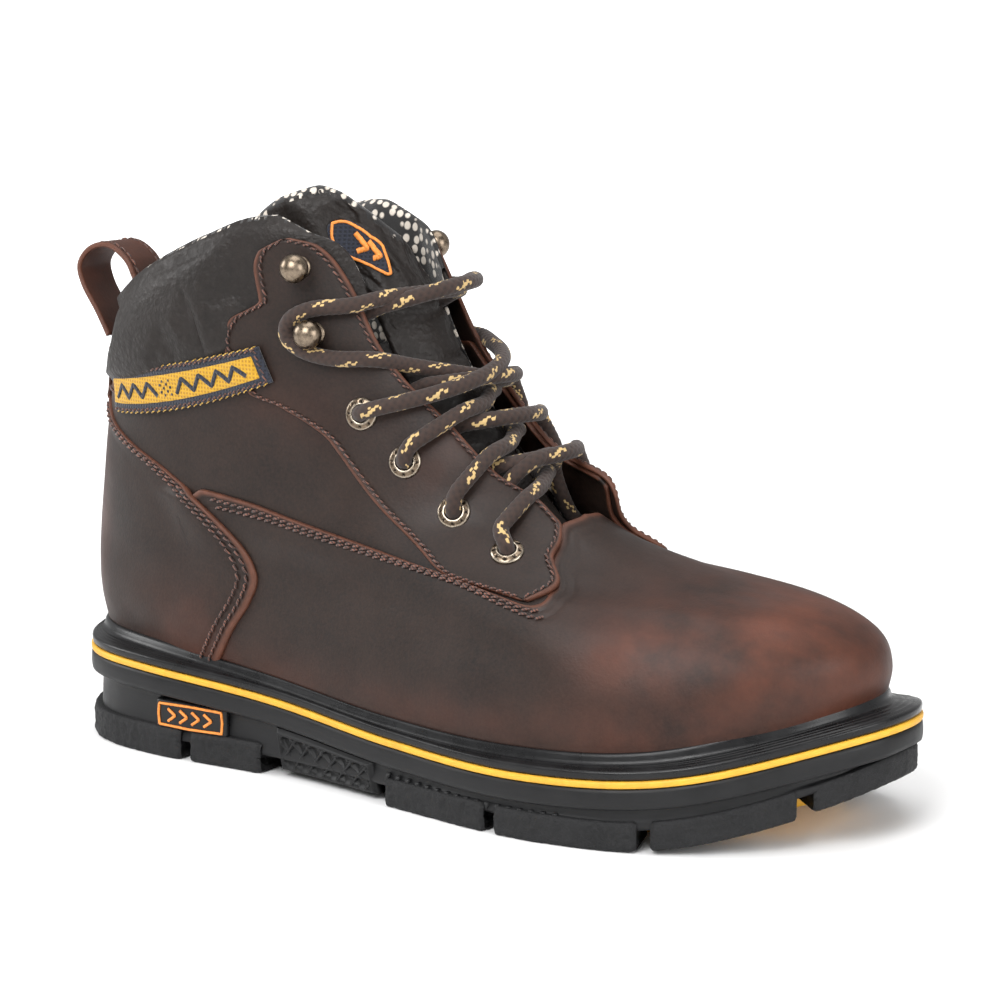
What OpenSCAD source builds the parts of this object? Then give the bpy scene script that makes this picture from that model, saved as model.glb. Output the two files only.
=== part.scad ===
// Safety-toe work boot for the right foot, six-inch shaft, lace-up.
// Origin: on the ground under the centre of the heel seat. +X points to the toe, +Y to the inner side
// of the foot, +Z up. A place on the upper is given by two numbers: turn, the angle round the foot
// (0 at the toe or shin, 180 at the heel, minus on the outer side), and rise, the ring number counted
// from the sole (0) to above the topline (10).

/* [Leather and lining] */
// Thickness of the outer leather
leather = 1.7; // [1.4:0.1:2.0]
// Thickness of the lining fabric
lining = 1.0; // [0.8:0.1:1.2]
// Thickness of the foam inside the collar
collar_foam_t = 6.4; // [5:0.2:7]
// Thickness of the padded tongue
tongue_t = 5.6; // [4:0.2:6]
// Clearance left between neighbouring layers
gap = 0.3; // [0.2:0.05:0.35]

/* [Safety parts] */
// Thickness of the steel toe cap
cap_t = 1.8; // [1.5:0.1:1.8]
// How far the toe cap reaches back from the toe tip, as a turn angle
cap_turn = 58; // [50:1:62]
// Width of the steel shank
shank_w = 16; // [12:1:20]

/* [Sole] */
// Height of the welt above the yellow line
welt_h = 4.2; // [3.6:0.1:4.4]
// Thickness of the yellow layer that shows as a line round the sole
line_t = 2.4; // [1.8:0.1:2.6]
// Depth of the midsole below the yellow layer
midsole_t = 5.2; // [4:0.2:5.4]
// Depth of the tread lugs
lug_h = 7.5; // [5:0.5:8]
// Width of the gap between two lugs
lug_gap = 3.5; // [2:0.5:5]

/* [Hardware] */
// Outer diameter of an eyelet flange
eyelet_od = 10.8; // [9:0.2:12]
// Bore of an eyelet
eyelet_bore = 5.6; // [5:0.2:6.4]
// Diameter of the ball on a lace hook
hook_ball_d = 9.4; // [8:0.2:10]
// Diameter of the round lace
lace_d = 4.6; // [3.6:0.2:5]

/* [Hidden] */

// Lifts: distances from the outer skin of the foot shape, minus means inwards. Each pair is inside, outside.
lift_top = [-leather, 0];
lift_stay = lift_top + [3 * gap, 3 * gap];
lift_label = [lift_stay[1] + 0.15, lift_stay[1] + 0.95];
lift_under = [lift_top[0] - gap - leather, lift_top[0] - gap];
lift_counter = [1.2 * gap, 1.2 * gap + leather];
cap_gap = 4 * gap;
lift_cap = [lift_top[0] - cap_gap - cap_t, lift_top[0] - cap_gap];
stiff_t = 1;
lift_stiff = [lift_under[0] - 3.6 * gap - stiff_t, lift_under[0] - 3.6 * gap];
lift_lining = [lift_stiff[0] - gap - lining, lift_stiff[0] - gap];
lift_foam = [lift_under[0] - gap - collar_foam_t, lift_under[0] - gap];
lift_gusset = [lift_lining[0] - 6.7, lift_lining[0] - 5.9];
lift_collar_lining = [lift_foam[0] - gap - lining, lift_foam[0] - gap];
lift_tongue = [lift_lining[0] - 3.1 - tongue_t, lift_lining[0] - 3.1];
lift_flap = [lift_collar_lining[0] - 0.6 - tongue_t, lift_collar_lining[0] - 0.6];

// ---- The foot shape: a stack of tilted rings ----

// Each ring's back point and front point on the centre plane: back x, back z, front x, front z.
RINGS = [
    [-40, 36, 249, 41], [-43, 48, 252, 52], [-44, 59, 248, 62], [-43.5, 72, 232, 70],
    [-42, 86, 201, 74], [-40, 100, 158, 86], [-38, 114, 131, 108], [-37, 128, 111, 133],
    [-37, 143, 97, 159], [-35, 158, 88, 184], [-34, 171, 80, 207]
];
// Half breadths of each ring at nine equal turns from the front to the back.
OUTER = [
    [68, 68, 66, 59, 49, 44, 49, 58, 62], [70, 71, 67, 59, 48, 44, 51, 59, 62],
    [66, 66, 61, 54, 45, 42, 50, 57, 60], [58, 56, 52, 48, 41, 41, 49, 54, 58],
    [42, 41, 43, 42, 39, 40, 47, 51, 54], [37, 37, 38, 38, 37, 39, 44, 48, 50],
    [38, 38, 38, 37, 36, 38, 42, 45, 46], [39, 38, 38, 37, 37, 38, 40, 42, 43],
    [39, 38, 38, 38, 38, 38, 40, 41, 42], [39, 39, 39, 39, 39, 39, 40, 41, 41],
    [39, 39, 39, 39, 39, 39, 40, 41, 41]
];
// What the inner side adds to the lowest five rings: fuller at the big toe, hollow at the arch.
INNER_EXTRA = [
    [0, 4, 0, -6, -12, -10, -3, 0, 0], [0, 3, 0, -5, -10, -8, -3, 0, 0],
    [0, 2, -1, -5, -7, -5, -2, 0, 0], [0, -3, -6, -6, -6, -3, -1, 0, 0], [0, -3, -5, -4, -4, -1, 0, 0, 0]
];
INNER = [for (r = [0:len(OUTER) - 1]) r < len(INNER_EXTRA) ? OUTER[r] + INNER_EXTRA[r] : OUTER[r]];
// Half breadths of the sole edge, and its ends.
SOLE_OUTER = [70, 65, 71, 66, 53, 48, 62, 80, 84];
SOLE_INNER = [70, 76, 71, 59, 43, 40, 59, 79, 84];
SOLE_ENDS = [261, -42.5];
// Height of the yellow line above the ground, at equal steps of line_step from line_x0.
LINE_Z = [31, 29.6, 25.6, 21.1, 20, 23, 36];
line_x0 = -45;
line_step = 51;
feather_over_line = 6;
turn_step = 22.5;

function mix(a, b, t) = a + (b - a) * t;
function clamp(x, lo, hi) = max(lo, min(hi, x));
function curve(a, b, c, d, t) =
    (2 * b + (c - a) * t + (2 * a - 5 * b + 4 * c - d) * t * t + (3 * b - a - 3 * c + d) * t * t * t) / 2;
// Smooth value of a table at a fractional index. The ends carry on straight.
function smooth(table, u) =
    let(last = len(table) - 1, i = clamp(floor(u), 0, last - 1), t = clamp(u - i, 0, 1),
        b = table[i], c = table[i + 1],
        a = i > 0 ? table[i - 1] : 2 * b - c,
        d = i + 2 <= last ? table[i + 2] : 2 * c - b)
    curve(a, b, c, d, t);
// The same along a row of breadths, which mirrors at the front and at the back.
function breadth(row, turn) =
    let(u = clamp(abs(turn) / turn_step, 0, 8), i = min(floor(u), 7),
        a = i > 0 ? row[i - 1] : row[1], d = i < 7 ? row[i + 2] : row[7])
    curve(a, row[i], row[i + 1], d, u - i);
function fold(turn) = turn > 180 ? turn - 360 : turn < -180 ? turn + 360 : turn;
function line_z(x) = smooth(LINE_Z, (x - line_x0) / line_step);
function toe_swing(x) = 5 * pow(clamp((x - 120) / 125, 0, 1), 2);

// A point of the foot shape.
function foot(turn0, rise) =
    let(turn = fold(turn0), ring = smooth(RINGS, rise), t = (1 - cos(turn)) / 2,
        row = smooth(turn < 0 ? OUTER : INNER, rise),
        x = mix(ring[2], ring[0], t), low = clamp(1 - rise / 4, 0, 1),
        plane_z = mix(RINGS[0][3], RINGS[0][1], (x - RINGS[0][2]) / (RINGS[0][0] - RINGS[0][2])),
        z = mix(ring[3], ring[1], t) + low * low * (line_z(x) + feather_over_line - plane_z))
    [x, toe_swing(x) * clamp(1 - rise / 5, 0, 1) + breadth(row, turn) * sin(turn), z];
// The outward direction there.
function outward(turn, rise) =
    let(r = clamp(rise, 0.05, 9.95),
        round = foot(turn + 1.5, r) - foot(turn - 1.5, r), up = foot(turn, r + 0.05) - foot(turn, r - 0.05),
        n = cross(round, up))
    n / norm(n);
function skin(turn, rise, lift) = foot(turn, rise) + lift * outward(turn, rise);

// ---- Closed solids from grids of points ----

// Joins an inner and an outer grid of points (rows of equal length) into one closed solid.
module shell(inner, outer) {
    rows = len(inner);
    cols = len(inner[0]);
    total = rows * cols;
    function at(r, c) = r * cols + c;
    points = [for (grid = [inner, outer]) for (row = grid) for (p = row) p];
    quads = concat(
        [for (r = [0:rows - 2]) for (c = [0:cols - 2])
            [at(r, c), at(r + 1, c), at(r + 1, c + 1), at(r, c + 1)]],
        [for (r = [0:rows - 2]) for (c = [0:cols - 2])
            [total + at(r, c), total + at(r, c + 1), total + at(r + 1, c + 1), total + at(r + 1, c)]],
        [for (r = [0:rows - 2]) [at(r + 1, 0), at(r, 0), total + at(r, 0), total + at(r + 1, 0)]],
        [for (r = [0:rows - 2]) let(c = cols - 1)
            [at(r, c), at(r + 1, c), total + at(r + 1, c), total + at(r, c)]],
        [for (c = [0:cols - 2]) [at(0, c), at(0, c + 1), total + at(0, c + 1), total + at(0, c)]],
        [for (c = [0:cols - 2]) let(r = rows - 1)
            [at(r, c + 1), at(r, c), total + at(r, c), total + at(r, c + 1)]]);
    polyhedron(points, [for (q = quads) each [[q[0], q[1], q[2]], [q[0], q[2], q[3]]]]);
}

// A panel of the upper that runs from one turn to another, between two tables of rise against turn.
module panel_by_turn(turns, low, high, lift, cols, rows) {
    function place(c, r, l) = let(t = mix(turns[0], turns[1], c / cols), a = abs(fold(t)))
        skin(t, mix(lookup(a, low), lookup(a, high), r / rows), l);
    shell([for (c = [0:cols]) [for (r = [0:rows]) place(c, r, lift[0])]],
          [for (c = [0:cols]) [for (r = [0:rows]) place(c, r, lift[1])]]);
}

// A panel of the upper that runs from one rise to another, between two tables of turn against rise.
module panel_by_rise(rises, near, far, lift, cols, rows, side) {
    function place(c, r, l) = let(v = mix(rises[0], rises[1], r / rows),
        t = mix(lookup(v, near), lookup(v, far), c / cols)) skin(side * t, v, l);
    points_in = [for (c = [0:cols]) [for (r = [0:rows]) place(c, r, lift[0])]];
    points_out = [for (c = [0:cols]) [for (r = [0:rows]) place(c, r, lift[1])]];
    if (side > 0) shell(points_in, points_out);
    else shell(points_out, points_in);
}

// A point on the sole edge, moved in by inset.
function sole_edge(turn, inset) =
    let(t = (1 - cos(turn)) / 2, x = mix(SOLE_ENDS[0] - inset, SOLE_ENDS[1] + inset, t),
        swing = 8 * pow(clamp((x - 120) / 141, 0, 1), 2),
        half = breadth(turn < 0 ? SOLE_OUTER : SOLE_INNER, turn) * (1 - inset / 50))
    [x, swing + half * sin(turn)];
function sole_turns(from_x, to_x, inset, n) =
    let(span = SOLE_ENDS[0] - SOLE_ENDS[1] - 2 * inset, mid = (SOLE_ENDS[0] + SOLE_ENDS[1]) / 2,
        a = acos(clamp((to_x - mid) * 2 / span, -1, 1)), b = acos(clamp((from_x - mid) * 2 / span, -1, 1)))
    [for (i = [0:n]) mix(a, b, i / n)];
// Height of the ground side of the tread: flat, with the toe sprung up.
function ground_z(x) = 19 * pow(clamp((x - 190) / 71, 0, 1), 1.8);

// A layer of the sole between two heights above a base line, from one x to another.
module sole_layer(inset, low, high, from_x = -100, to_x = 300, follow_line = true, n = 32, across = 4) {
    back_x = max(from_x, SOLE_ENDS[1] + inset + 0.4);
    front_x = min(to_x, SOLE_ENDS[0] - inset - 0.4);
    turns = sole_turns(back_x, front_x, inset, n);
    function base(x) = follow_line ? line_z(x) : ground_z(x);
    function place(t, c, h) =
        let(a = sole_edge(t, inset), b = sole_edge(-t, inset), p = mix(a, b, c / across))
        [p[0], p[1], base(p[0]) + h];
    shell([for (t = turns) [for (c = [0:across]) place(t, c, low)]],
          [for (t = turns) [for (c = [0:across]) place(t, c, high)]]);
}

// A strip of the sole along its edge, all the way round.
module sole_ring(inset_out, inset_in, low, high, n = 64) {
    function place(i, inset, h) = let(t = fold(i * 360 / n), p = sole_edge(t == -180 ? 180 : t, inset))
        [p[0], p[1], line_z(p[0]) + h];
    loop = [for (i = [0:n - 1]) [place(i, inset_in, low), place(i, inset_out, low),
                                 place(i, inset_out, high), place(i, inset_in, high)]];
    points = [for (section = loop) each section];
    faces = [for (i = [0:n - 1]) for (k = [0:3])
        let(j = (i + 1) % n, m = (k + 1) % 4, a = 4 * i + k, b = 4 * i + m, c = 4 * j + m, d = 4 * j + k)
        each [[a, b, c], [a, c, d]]];
    polyhedron(points, faces);
}

// A round cord through a list of points.
module cord(path, r, sides = 8) {
    last = len(path) - 1;
    function ahead(i) = let(d = path[min(i + 1, last)] - path[max(i - 1, 0)]) d / norm(d);
    function ring(i) =
        let(d = ahead(i), a = cross(d, abs(d[2]) < 0.9 ? [0, 0, 1] : [1, 0, 0]), u = a / norm(a),
            w = cross(u, d))
        [for (k = [0:sides - 1]) path[i] + r * (cos(360 * k / sides) * u + sin(360 * k / sides) * w)];
    points = concat([for (i = [0:last]) each ring(i)], [path[0], path[last]]);
    cap = len(points) - 2;
    sidewall = [for (i = [0:last - 1]) for (k = [0:sides - 1]) let(m = (k + 1) % sides,
        a = i * sides + k, b = i * sides + m, c = (i + 1) * sides + m, d = (i + 1) * sides + k)
        each [[a, b, c], [a, c, d]]];
    ends = [for (k = [0:sides - 1]) let(m = (k + 1) % sides)
        each [[cap, m, k], [cap + 1, last * sides + k, last * sides + m]]];
    polyhedron(points, concat(sidewall, ends));
}

// Stands its children on the skin, with +Z outwards.
module on_skin(turn, rise, lift) {
    n = outward(turn, rise);
    translate(skin(turn, rise, lift)) rotate([0, acos(n[2]), atan2(n[1], n[0])]) children();
}

// ---- Outlines of the panels, on one side: rise against turn, or turn against rise ----

TOPLINE = [[38, 8.3], [41, 8.9], [46, 9.1], [56, 9.28], [75, 9.42], [94, 9.28], [123, 8.93], [159, 8.52],
    [180, 8.42]];
COLLAR_SEAM = [[0, 7.3], [78, 7.25], [140, 6.5], [180, 6.5]];
VAMP_TOP = [[0, 5.3], [16, 5.22], [26, 4.92], [41, 4.42], [55, 3.55], [64, 2.95], [68, 3.2], [74, 3.7],
    [83, 4.12], [94, 4.44], [103, 4.66], [113, 4.72], [118, 4.5], [124, 4.4]];
QUARTER_TOP = [[22, 5.42], [29, 5.85], [32, 6.4], [40, 6.95], [44, 7.25], [78, 7.25], [140, 6.5],
    [180, 6.5]];
QUARTER_LOW = [[22, 5.28], [41, 4.48], [56, 3.6], [63, 2.6], [108, 3.9], [120, 3.4], [126, 0.1],
    [180, 0.1]];
COUNTER_EDGE = [[0, 121], [1, 117], [1.8, 113.8], [2.6, 111.5], [3.4, 112], [4.5, 116.7], [5, 123],
    [5.4, 136], [6.1, 157]];
THROAT = [[3.1, 63.4], [3.8, 52], [4.5, 40.6], [5.15, 21], [5.4, 20], [5.8, 27.4], [6.4, 31], [7, 38],
    [7.5, 41.5], [8.1, 43], [8.5, 46], [8.8, 51], [8.98, 60]];
EYESTAY_BACK = [[3.1, 64.4], [3.7, 73.5], [5, 68], [6.1, 70], [6.6, 80], [6.75, 87], [7.5, 90],
    [7.9, 85], [8.15, 74], [8.6, 73.5], [8.85, 71], [8.98, 63]];
stay_rises = [3.15, 8.97];
TOE_EDGE = [[0, 4.9], [20, 4.4], [40, 3.3], [cap_turn, 1.9]];
// Places of the four eyelets from the bottom, and of the two lace hooks: turn, rise.
EYELETS = [[50, 4.53], [49.3, 5.23], [52.2, 5.92], [56.5, 6.56]];
HOOKS = [[60, 7.64], [58.5, 8.55]];
flap_rise = 8.3;
// The tongue's flap above flap_rise: its edges against turn, and the share of tongue_t it keeps in the wing
// that lies over the rim on the outer side.
FLAP_TURNS = [-42, 24];
FLAP_TOP = [[-42, 9.75], [-32, 9.85], [-15, 9.75], [5, 9.4], [24, 8.9]];
FLAP_LOW = [[-42, 9.15], [-36, flap_rise], [24, flap_rise]];
FLAP_SHARE = [[-42, 0.35], [-30, 0.65], [-18, 1], [24, 1]];

// ---- Sole ----

plate_z = lug_h + 0.5;
midsole_low = -line_t / 2 - gap - midsole_t;
// x ranges of the forefoot lugs, and how far they reach in from the edge.
FOREFOOT_LUGS = [[104, 150], [150, 202], [202, 243], [243, 270]];
lug_depth = 17;
lug_inset = 1.2;
// The cross ribs under the waist: x of the first and last, pitch, size.
RIB_X = [62, 96];
rib_pitch = 14;
RIB_SIZE = [4, 50, 3];
heel_front = 50;
heel_split = 19;
// Where the shank starts and ends, and its thickness.
SHANK_X = [5, 125];
shank_t = 1.2;

module outsole() {
    shell_turns = sole_turns(SOLE_ENDS[1] + 1, SOLE_ENDS[0] - 1, 0.6, 40);
    function plate(t, c, top) = let(p = mix(sole_edge(t, 0.6), sole_edge(-t, 0.6), c / 4))
        [p[0], p[1], top ? line_z(p[0]) + midsole_low - gap : ground_z(p[0]) + plate_z];
    color("#202124") union() {
        shell([for (t = shell_turns) [for (c = [0:4]) plate(t, c, false)]],
              [for (t = shell_turns) [for (c = [0:4]) plate(t, c, true)]]);
        for (lug = FOREFOOT_LUGS, side = [-1, 1]) forefoot_lug(lug, side);
        for (x = [RIB_X[0]:rib_pitch:RIB_X[1]]) waist_rib(x);
    }
}

// One edge lug: a slice of the sole's rim, sunk 1 mm into the plate.
module forefoot_lug(range_x, side) {
    turns = sole_turns(range_x[0] + lug_gap / 2, range_x[1] - lug_gap / 2, lug_inset, 8);
    function place(t, inset, h) = let(p = sole_edge(side * min(t, 179), inset))
        [p[0], p[1], ground_z(p[0]) + h];
    low = [for (t = turns) [place(t, lug_depth, 0), place(t, lug_inset, 0)]];
    high = [for (t = turns) [place(t, lug_depth, plate_z + 1), place(t, lug_inset, plate_z + 1)]];
    if (side > 0) shell(high, low);
    else shell(low, high);
}

module waist_rib(x) {
    translate([x, -RIB_SIZE[1] / 2 - 1, plate_z + 1 - RIB_SIZE[2]]) cube(RIB_SIZE);
}

// The wearing piece of the heel: two flat lugs, with the flat ground face the boot stands on.
module heel_lift() color("#1c1d1f") {
    heel_slab(SOLE_ENDS[1] + 2.2, heel_split - lug_gap / 2);
    heel_slab(heel_split + lug_gap / 2, heel_front);
}

module heel_slab(from_x, to_x) {
    turns = sole_turns(from_x, to_x, 1.8, 14);
    edge = concat([for (t = turns) sole_edge(-t, 1.8)],
                  [for (i = [len(turns) - 1:-1:0]) sole_edge(turns[i], 1.8)]);
    linear_extrude(plate_z - gap) polygon(edge);
}

module tread_core() color("#e8b62c")
    sole_layer(19, 1.5, plate_z - gap, from_x = 100, to_x = 238, follow_line = false, n = 16, across = 2);

module midsole() color("#26272a")
    sole_layer(0.8, midsole_low, -line_t / 2 - gap);

module yellow_layer() color("#e9b93a")
    sole_layer(0.2, -line_t / 2, line_t / 2);

module welt() color("#2a2b2e")
    sole_ring(0, 13, line_t / 2 + gap, line_t / 2 + gap + welt_h);

module bottom_filler() color("#8a6b48")
    sole_layer(14, line_t / 2 + gap, line_t / 2 + gap + welt_h - 0.6, n = 20, across = 2);

// The raised frame plate on the outer side of the heel.
PLAQUE_AT = [9, -43, 10.4];
PLAQUE_SIZE = [28, 8.6];
plaque_t = 1.6;
plaque_rim = 1.4;
module heel_plaque() color("#c8763a")
    translate(PLAQUE_AT) rotate([90, 0, 0]) difference() {
        linear_extrude(plaque_t) square(PLAQUE_SIZE);
        translate([plaque_rim, plaque_rim, plaque_t / 2])
            linear_extrude(plaque_t) square(PLAQUE_SIZE - 2 * [plaque_rim, plaque_rim]);
    }

// A spring-steel bar under the arch, bent to the waist, let into the top of the filler.
module steel_shank() {
    n = 12;
    function place(i, y, h) = let(x = mix(SHANK_X[0], SHANK_X[1], i / n))
        [x, y, line_z(x) + line_t / 2 + gap + welt_h - 0.6 + gap + h];
    half = shank_w / 2;
    color("silver") shell([for (i = [0:n]) [place(i, -half, 0), place(i, half, 0)]],
                          [for (i = [0:n]) [place(i, -half, shank_t), place(i, half, shank_t)]]);
}

// ---- Inside the boot ----

// A board that fills the foot shape at one rise, between two heights over the feather line.
module foot_board(lift, low, high, from_turn, to_turn, n = 24, across = 4) {
    function place(t, c, h) = let(a = skin(t, 0.5, lift), b = skin(-t, 0.5, lift), p = mix(a, b, c / across))
        [p[0], p[1], line_z(p[0]) + feather_over_line + h];
    turns = [for (i = [0:n]) mix(from_turn, to_turn, i / n)];
    shell([for (t = turns) [for (c = [0:across]) place(t, c, low)]],
          [for (t = turns) [for (c = [0:across]) place(t, c, high)]]);
}

module insole_board() color("#b79a6b")
    foot_board(lift_lining[0] - 0.6, 1, 3, 3, 176);

module footbed() color("#3b3d40")
    foot_board(lift_lining[0] - 2.2, 3.4, 7.4, 5, 174);

module steel_toe_cap() color("#9aa0a6")
    panel_by_turn([-cap_turn, cap_turn], [[0, 0.35], [180, 0.35]], TOE_EDGE, lift_cap, 22, 6);

// The soft trim that covers the back edge of the steel cap.
module toe_cap_edge_trim() color("#4a4c50")
    panel_by_turn([-cap_turn, cap_turn], [for (p = TOE_EDGE) p + [0, 0.04]],
                  [for (p = TOE_EDGE) p + [0, 0.3]], lift_cap, 24, 1);

module heel_stiffener() color("#cfc7b4")
    panel_by_turn([122, 238], [[0, 0.2], [180, 0.2]], [[122, 3.2], [150, 4.4], [180, 4.7]],
                  lift_stiff, 16, 6);

// ---- Leather of the upper ----

// The punched holes that the eyelet tubes pass through, on one side.
tube_r = eyelet_bore / 2 + 0.5;
hole_r = tube_r + 0.1;
lining_hole_r = hole_r + 2.1;
module eyelet_holes(side, r)
    for (e = EYELETS) on_skin(side * e[0], e[1], lift_lining[0] - 2) cylinder(h = 13, r = r, $fn = 24);

module vamp() color("#5b3a2c")
    panel_by_turn([-124, 124], [[0, 0], [180, 0]], VAMP_TOP, lift_top, 46, 8);

module quarter(side) color("#54362a") difference() {
    panel_by_turn(side > 0 ? [22.5, 179.6] : [-179.6, -22.5], QUARTER_LOW, QUARTER_TOP, lift_under, 30, 8);
    eyelet_holes(side, hole_r);
}

module heel_counter() {
    rows = 12;
    cols = 16;
    function place(c, r, l) = let(v = mix(0.12, 6.1, r / rows), a = lookup(v, COUNTER_EDGE))
        skin(mix(a, 360 - a, c / cols), v, l);
    color("#5e3b2c") shell([for (c = [0:cols]) [for (r = [0:rows]) place(c, r, lift_counter[0])]],
                           [for (c = [0:cols]) [for (r = [0:rows]) place(c, r, lift_counter[1])]]);
}

module eyestay(side) color("#50342a") difference() {
    panel_by_rise(stay_rises, THROAT, EYESTAY_BACK, lift_stay, 6, 26, side);
    eyelet_holes(side, hole_r);
}

// The strip over the back seam, from the counter up to the collar.
module back_strip() color("#5a392b")
    panel_by_turn([160, 200], [[0, 6.16], [180, 6.16]], [[0, 7.35], [180, 7.35]], lift_top, 8, 4);

module collar_cover() color("#3b322e") {
    panel_by_turn([38.5, 321.5], [for (p = COLLAR_SEAM) p + [0, 0.03]], TOPLINE, lift_under, 44, 4);
    panel_by_turn([38.5, 321.5], [for (p = TOPLINE) p + [0, 0.05]], [for (p = TOPLINE) p + [0, 0.17]],
                  [lift_collar_lining[0], lift_under[1]], 44, 1);
}

// The foam stops behind the lace hooks, where the collar is only leather and lining.
foam_turn = 67;
module collar_foam() color("#d8d2c4")
    panel_by_turn([foam_turn, 360 - foam_turn], [for (p = COLLAR_SEAM) p + [0, 0.05]],
                  [for (p = TOPLINE) p - [0, 0.08]], lift_foam, 32, 3);

module collar_lining() color("#33312f")
    panel_by_turn([40, 320], [for (p = COLLAR_SEAM) p + [0, 0.05]], [for (p = TOPLINE) p - [0, 0.11]],
                  lift_collar_lining, 44, 3);

module vamp_lining() color("#2c2b2a")
    panel_by_turn([-120, 120], [[0, 0.3], [180, 0.3]],
                  [[0, 5.2], [40, 4.4], [64, 3], [120, 3]], lift_lining, 32, 8);

// The hard-wearing lining round the heel.
module heel_lining() color("#3a3532")
    panel_by_turn([120.6, 239.4], [[0, 0.3], [180, 0.3]], [[0, 3], [180, 3]], lift_lining, 16, 4);

module quarter_lining() color("#2f2d2c") {
    low = [[45, 4.78], [64, 3.14], [180, 3.14]];
    high = [[45, 7.1], [78, 7.15], [140, 6.4], [180, 6.4]];
    for (side = [-1, 1]) difference() {
        panel_by_turn(side > 0 ? [46, 179.6] : [-179.6, -46], low, high, lift_lining, 22, 5);
        eyelet_holes(side, lining_hole_r);
    }
}

// The woven label on the outer side, over the seam between quarter and collar.
LABEL_LOW = [[78, 6.95], [135, 6.0], [141, 6.02]];
LABEL_HIGH = [[78, 7.47], [141, 6.88]];
module side_label() color("#d8a51f")
    panel_by_turn([-141, -78], LABEL_LOW, LABEL_HIGH, lift_label, 16, 1);

// ---- Tongue ----

module tongue_base() color("#3a302c")
    panel_by_turn([-37, 37], [[0, 4.9], [37, 5.2]], [[0, flap_rise - 0.12], [37, flap_rise - 0.12]],
                  lift_tongue, 12, 10);

module tongue_flap() {
    cols = 10;
    rows = 4;
    function place(c, r, depth) = let(t = mix(FLAP_TURNS[0], FLAP_TURNS[1], c / cols))
        skin(t, mix(lookup(t, FLAP_LOW), lookup(t, FLAP_TOP), r / rows),
             lift_flap[1] - depth * lookup(t, FLAP_SHARE));
    color("#3c332f") shell([for (c = [0:cols]) [for (r = [0:rows]) place(c, r, tongue_t)]],
                           [for (c = [0:cols]) [for (r = [0:rows]) place(c, r, 0)]]);
}

patch_turns = [-23, 15];
patch_rises = [8.6, 9.25];
module tongue_patch() color("#23262e")
    panel_by_turn(patch_turns, [[0, patch_rises[0]], [23, patch_rises[0]]],
                  [[0, patch_rises[1]], [23, patch_rises[1]]], [lift_flap[1] + gap, lift_flap[1] + 1], 7, 3);

// The thin side folds that join the tongue to the quarters.
module tongue_gussets() color("#2e2927")
    for (side = [-1, 1])
        panel_by_turn(side > 0 ? [39, 58] : [-58, -39], [[39, 5.3], [58, 5]], [[39, 7.1], [58, 7]],
                      lift_gusset, 4, 8);

// ---- Pull loop at the back ----

loop_w = 17;
loop_t = 1.8;
LOOP = [[-40.2, 134.6], [-45, 144], [-50.5, 154], [-52, 162], [-47, 168.5], [-39, 170], [-31.5, 165],
    [-27.6, 157.5]];

module pull_loop() {
    n = 28;
    steps = [for (i = [0:n]) smooth(LOOP, i * (len(LOOP) - 1) / n)];
    function side_of(i) = let(d = steps[min(i + 1, n)] - steps[max(i - 1, 0)]) [-d[1], d[0]] / norm(d);
    profile = concat([for (i = [0:n]) steps[i] + loop_t / 2 * side_of(i)],
                     [for (i = [n:-1:0]) steps[i] - loop_t / 2 * side_of(i)]);
    color("#57382b") translate([0, loop_w / 2, 0]) rotate([90, 0, 0])
        linear_extrude(loop_w) polygon(profile);
}

// ---- Eyelets, hooks and lace ----

flange_low = lift_stay[1] + 0.6;
// A flanged tube through the punched hole of the facing, rim rolled outwards.
module eyelets() color("#7d7466")
    for (side = [-1, 1], e = EYELETS) on_skin(side * e[0], e[1], 0) rotate_extrude($fn = 32)
        polygon([[eyelet_bore / 2, lift_under[0] - 1.2], [tube_r, lift_under[0] - 1.2],
                 [tube_r, flange_low], [eyelet_od / 2, flange_low], [eyelet_od / 2 - 0.5, flange_low + 0.5],
                 [eyelet_bore / 2 + 0.9, flange_low + 1], [eyelet_bore / 2, flange_low + 0.6]]);

// The washer that the tube is rolled over on the inside.
washer_drop = 0.05;
module eyelet_washers() color("#6c6558")
    for (side = [-1, 1], e = EYELETS) on_skin(side * e[0], e[1], lift_under[0] - gap - 0.7)
        rotate_extrude($fn = 32) translate([tube_r + gap, washer_drop]) square([1.6, 0.4]);

hook_stem_r = 1.8;
hook_stem_h = 3.8;
module lace_hooks() color("#7a7264")
    for (side = [-1, 1], h = HOOKS) on_skin(side * h[0], h[1], 0) rotate_extrude($fn = 32)
        polygon(concat([[0, flange_low], [3.6, flange_low], [3.4, flange_low + 0.3],
                        [hook_stem_r, flange_low + 0.9], [hook_stem_r, hook_stem_h]],
            [for (a = [-60:15:90])
                [hook_ball_d / 2 * cos(a), hook_stem_h - 0.3 + hook_ball_d * 0.36 * (1 + sin(a))]]));

// The rivet washer behind each hook.
module hook_rivets() color("#6c6558")
    for (side = [-1, 1], h = HOOKS) on_skin(side * h[0], h[1], lift_under[0] - gap - 0.8)
        rotate_extrude($fn = 32) square([3, 0.7]);

// Places along the lace, each [turn, rise, lift]. side is where the place's pass began.
// deep_lift lies between the lining and the tongue's side folds, edge_lift between the facing and the
// tongue.
deep_lift = lift_lining[0] - lace_d / 2 - 0.9;
edge_lift = lift_under[0] - lace_d / 2 - 0.8;
over_lift = lace_d / 2 + 1.6;
exit_lift = flange_low + 2;
hook_lift = flange_low + 2.2;
// The lowest rise at which the lace crosses in front of the tongue, above the vamp.
vamp_clear = 5.62;
function across(p, side) = [side * p[0], p[1], p[2]];
// The straight run out through an eyelet, from the inside.
function run_out(e) = [for (l = [deep_lift, -5.4, -1.6, flange_low, exit_lift]) [-e[0], e[1], l]];

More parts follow.
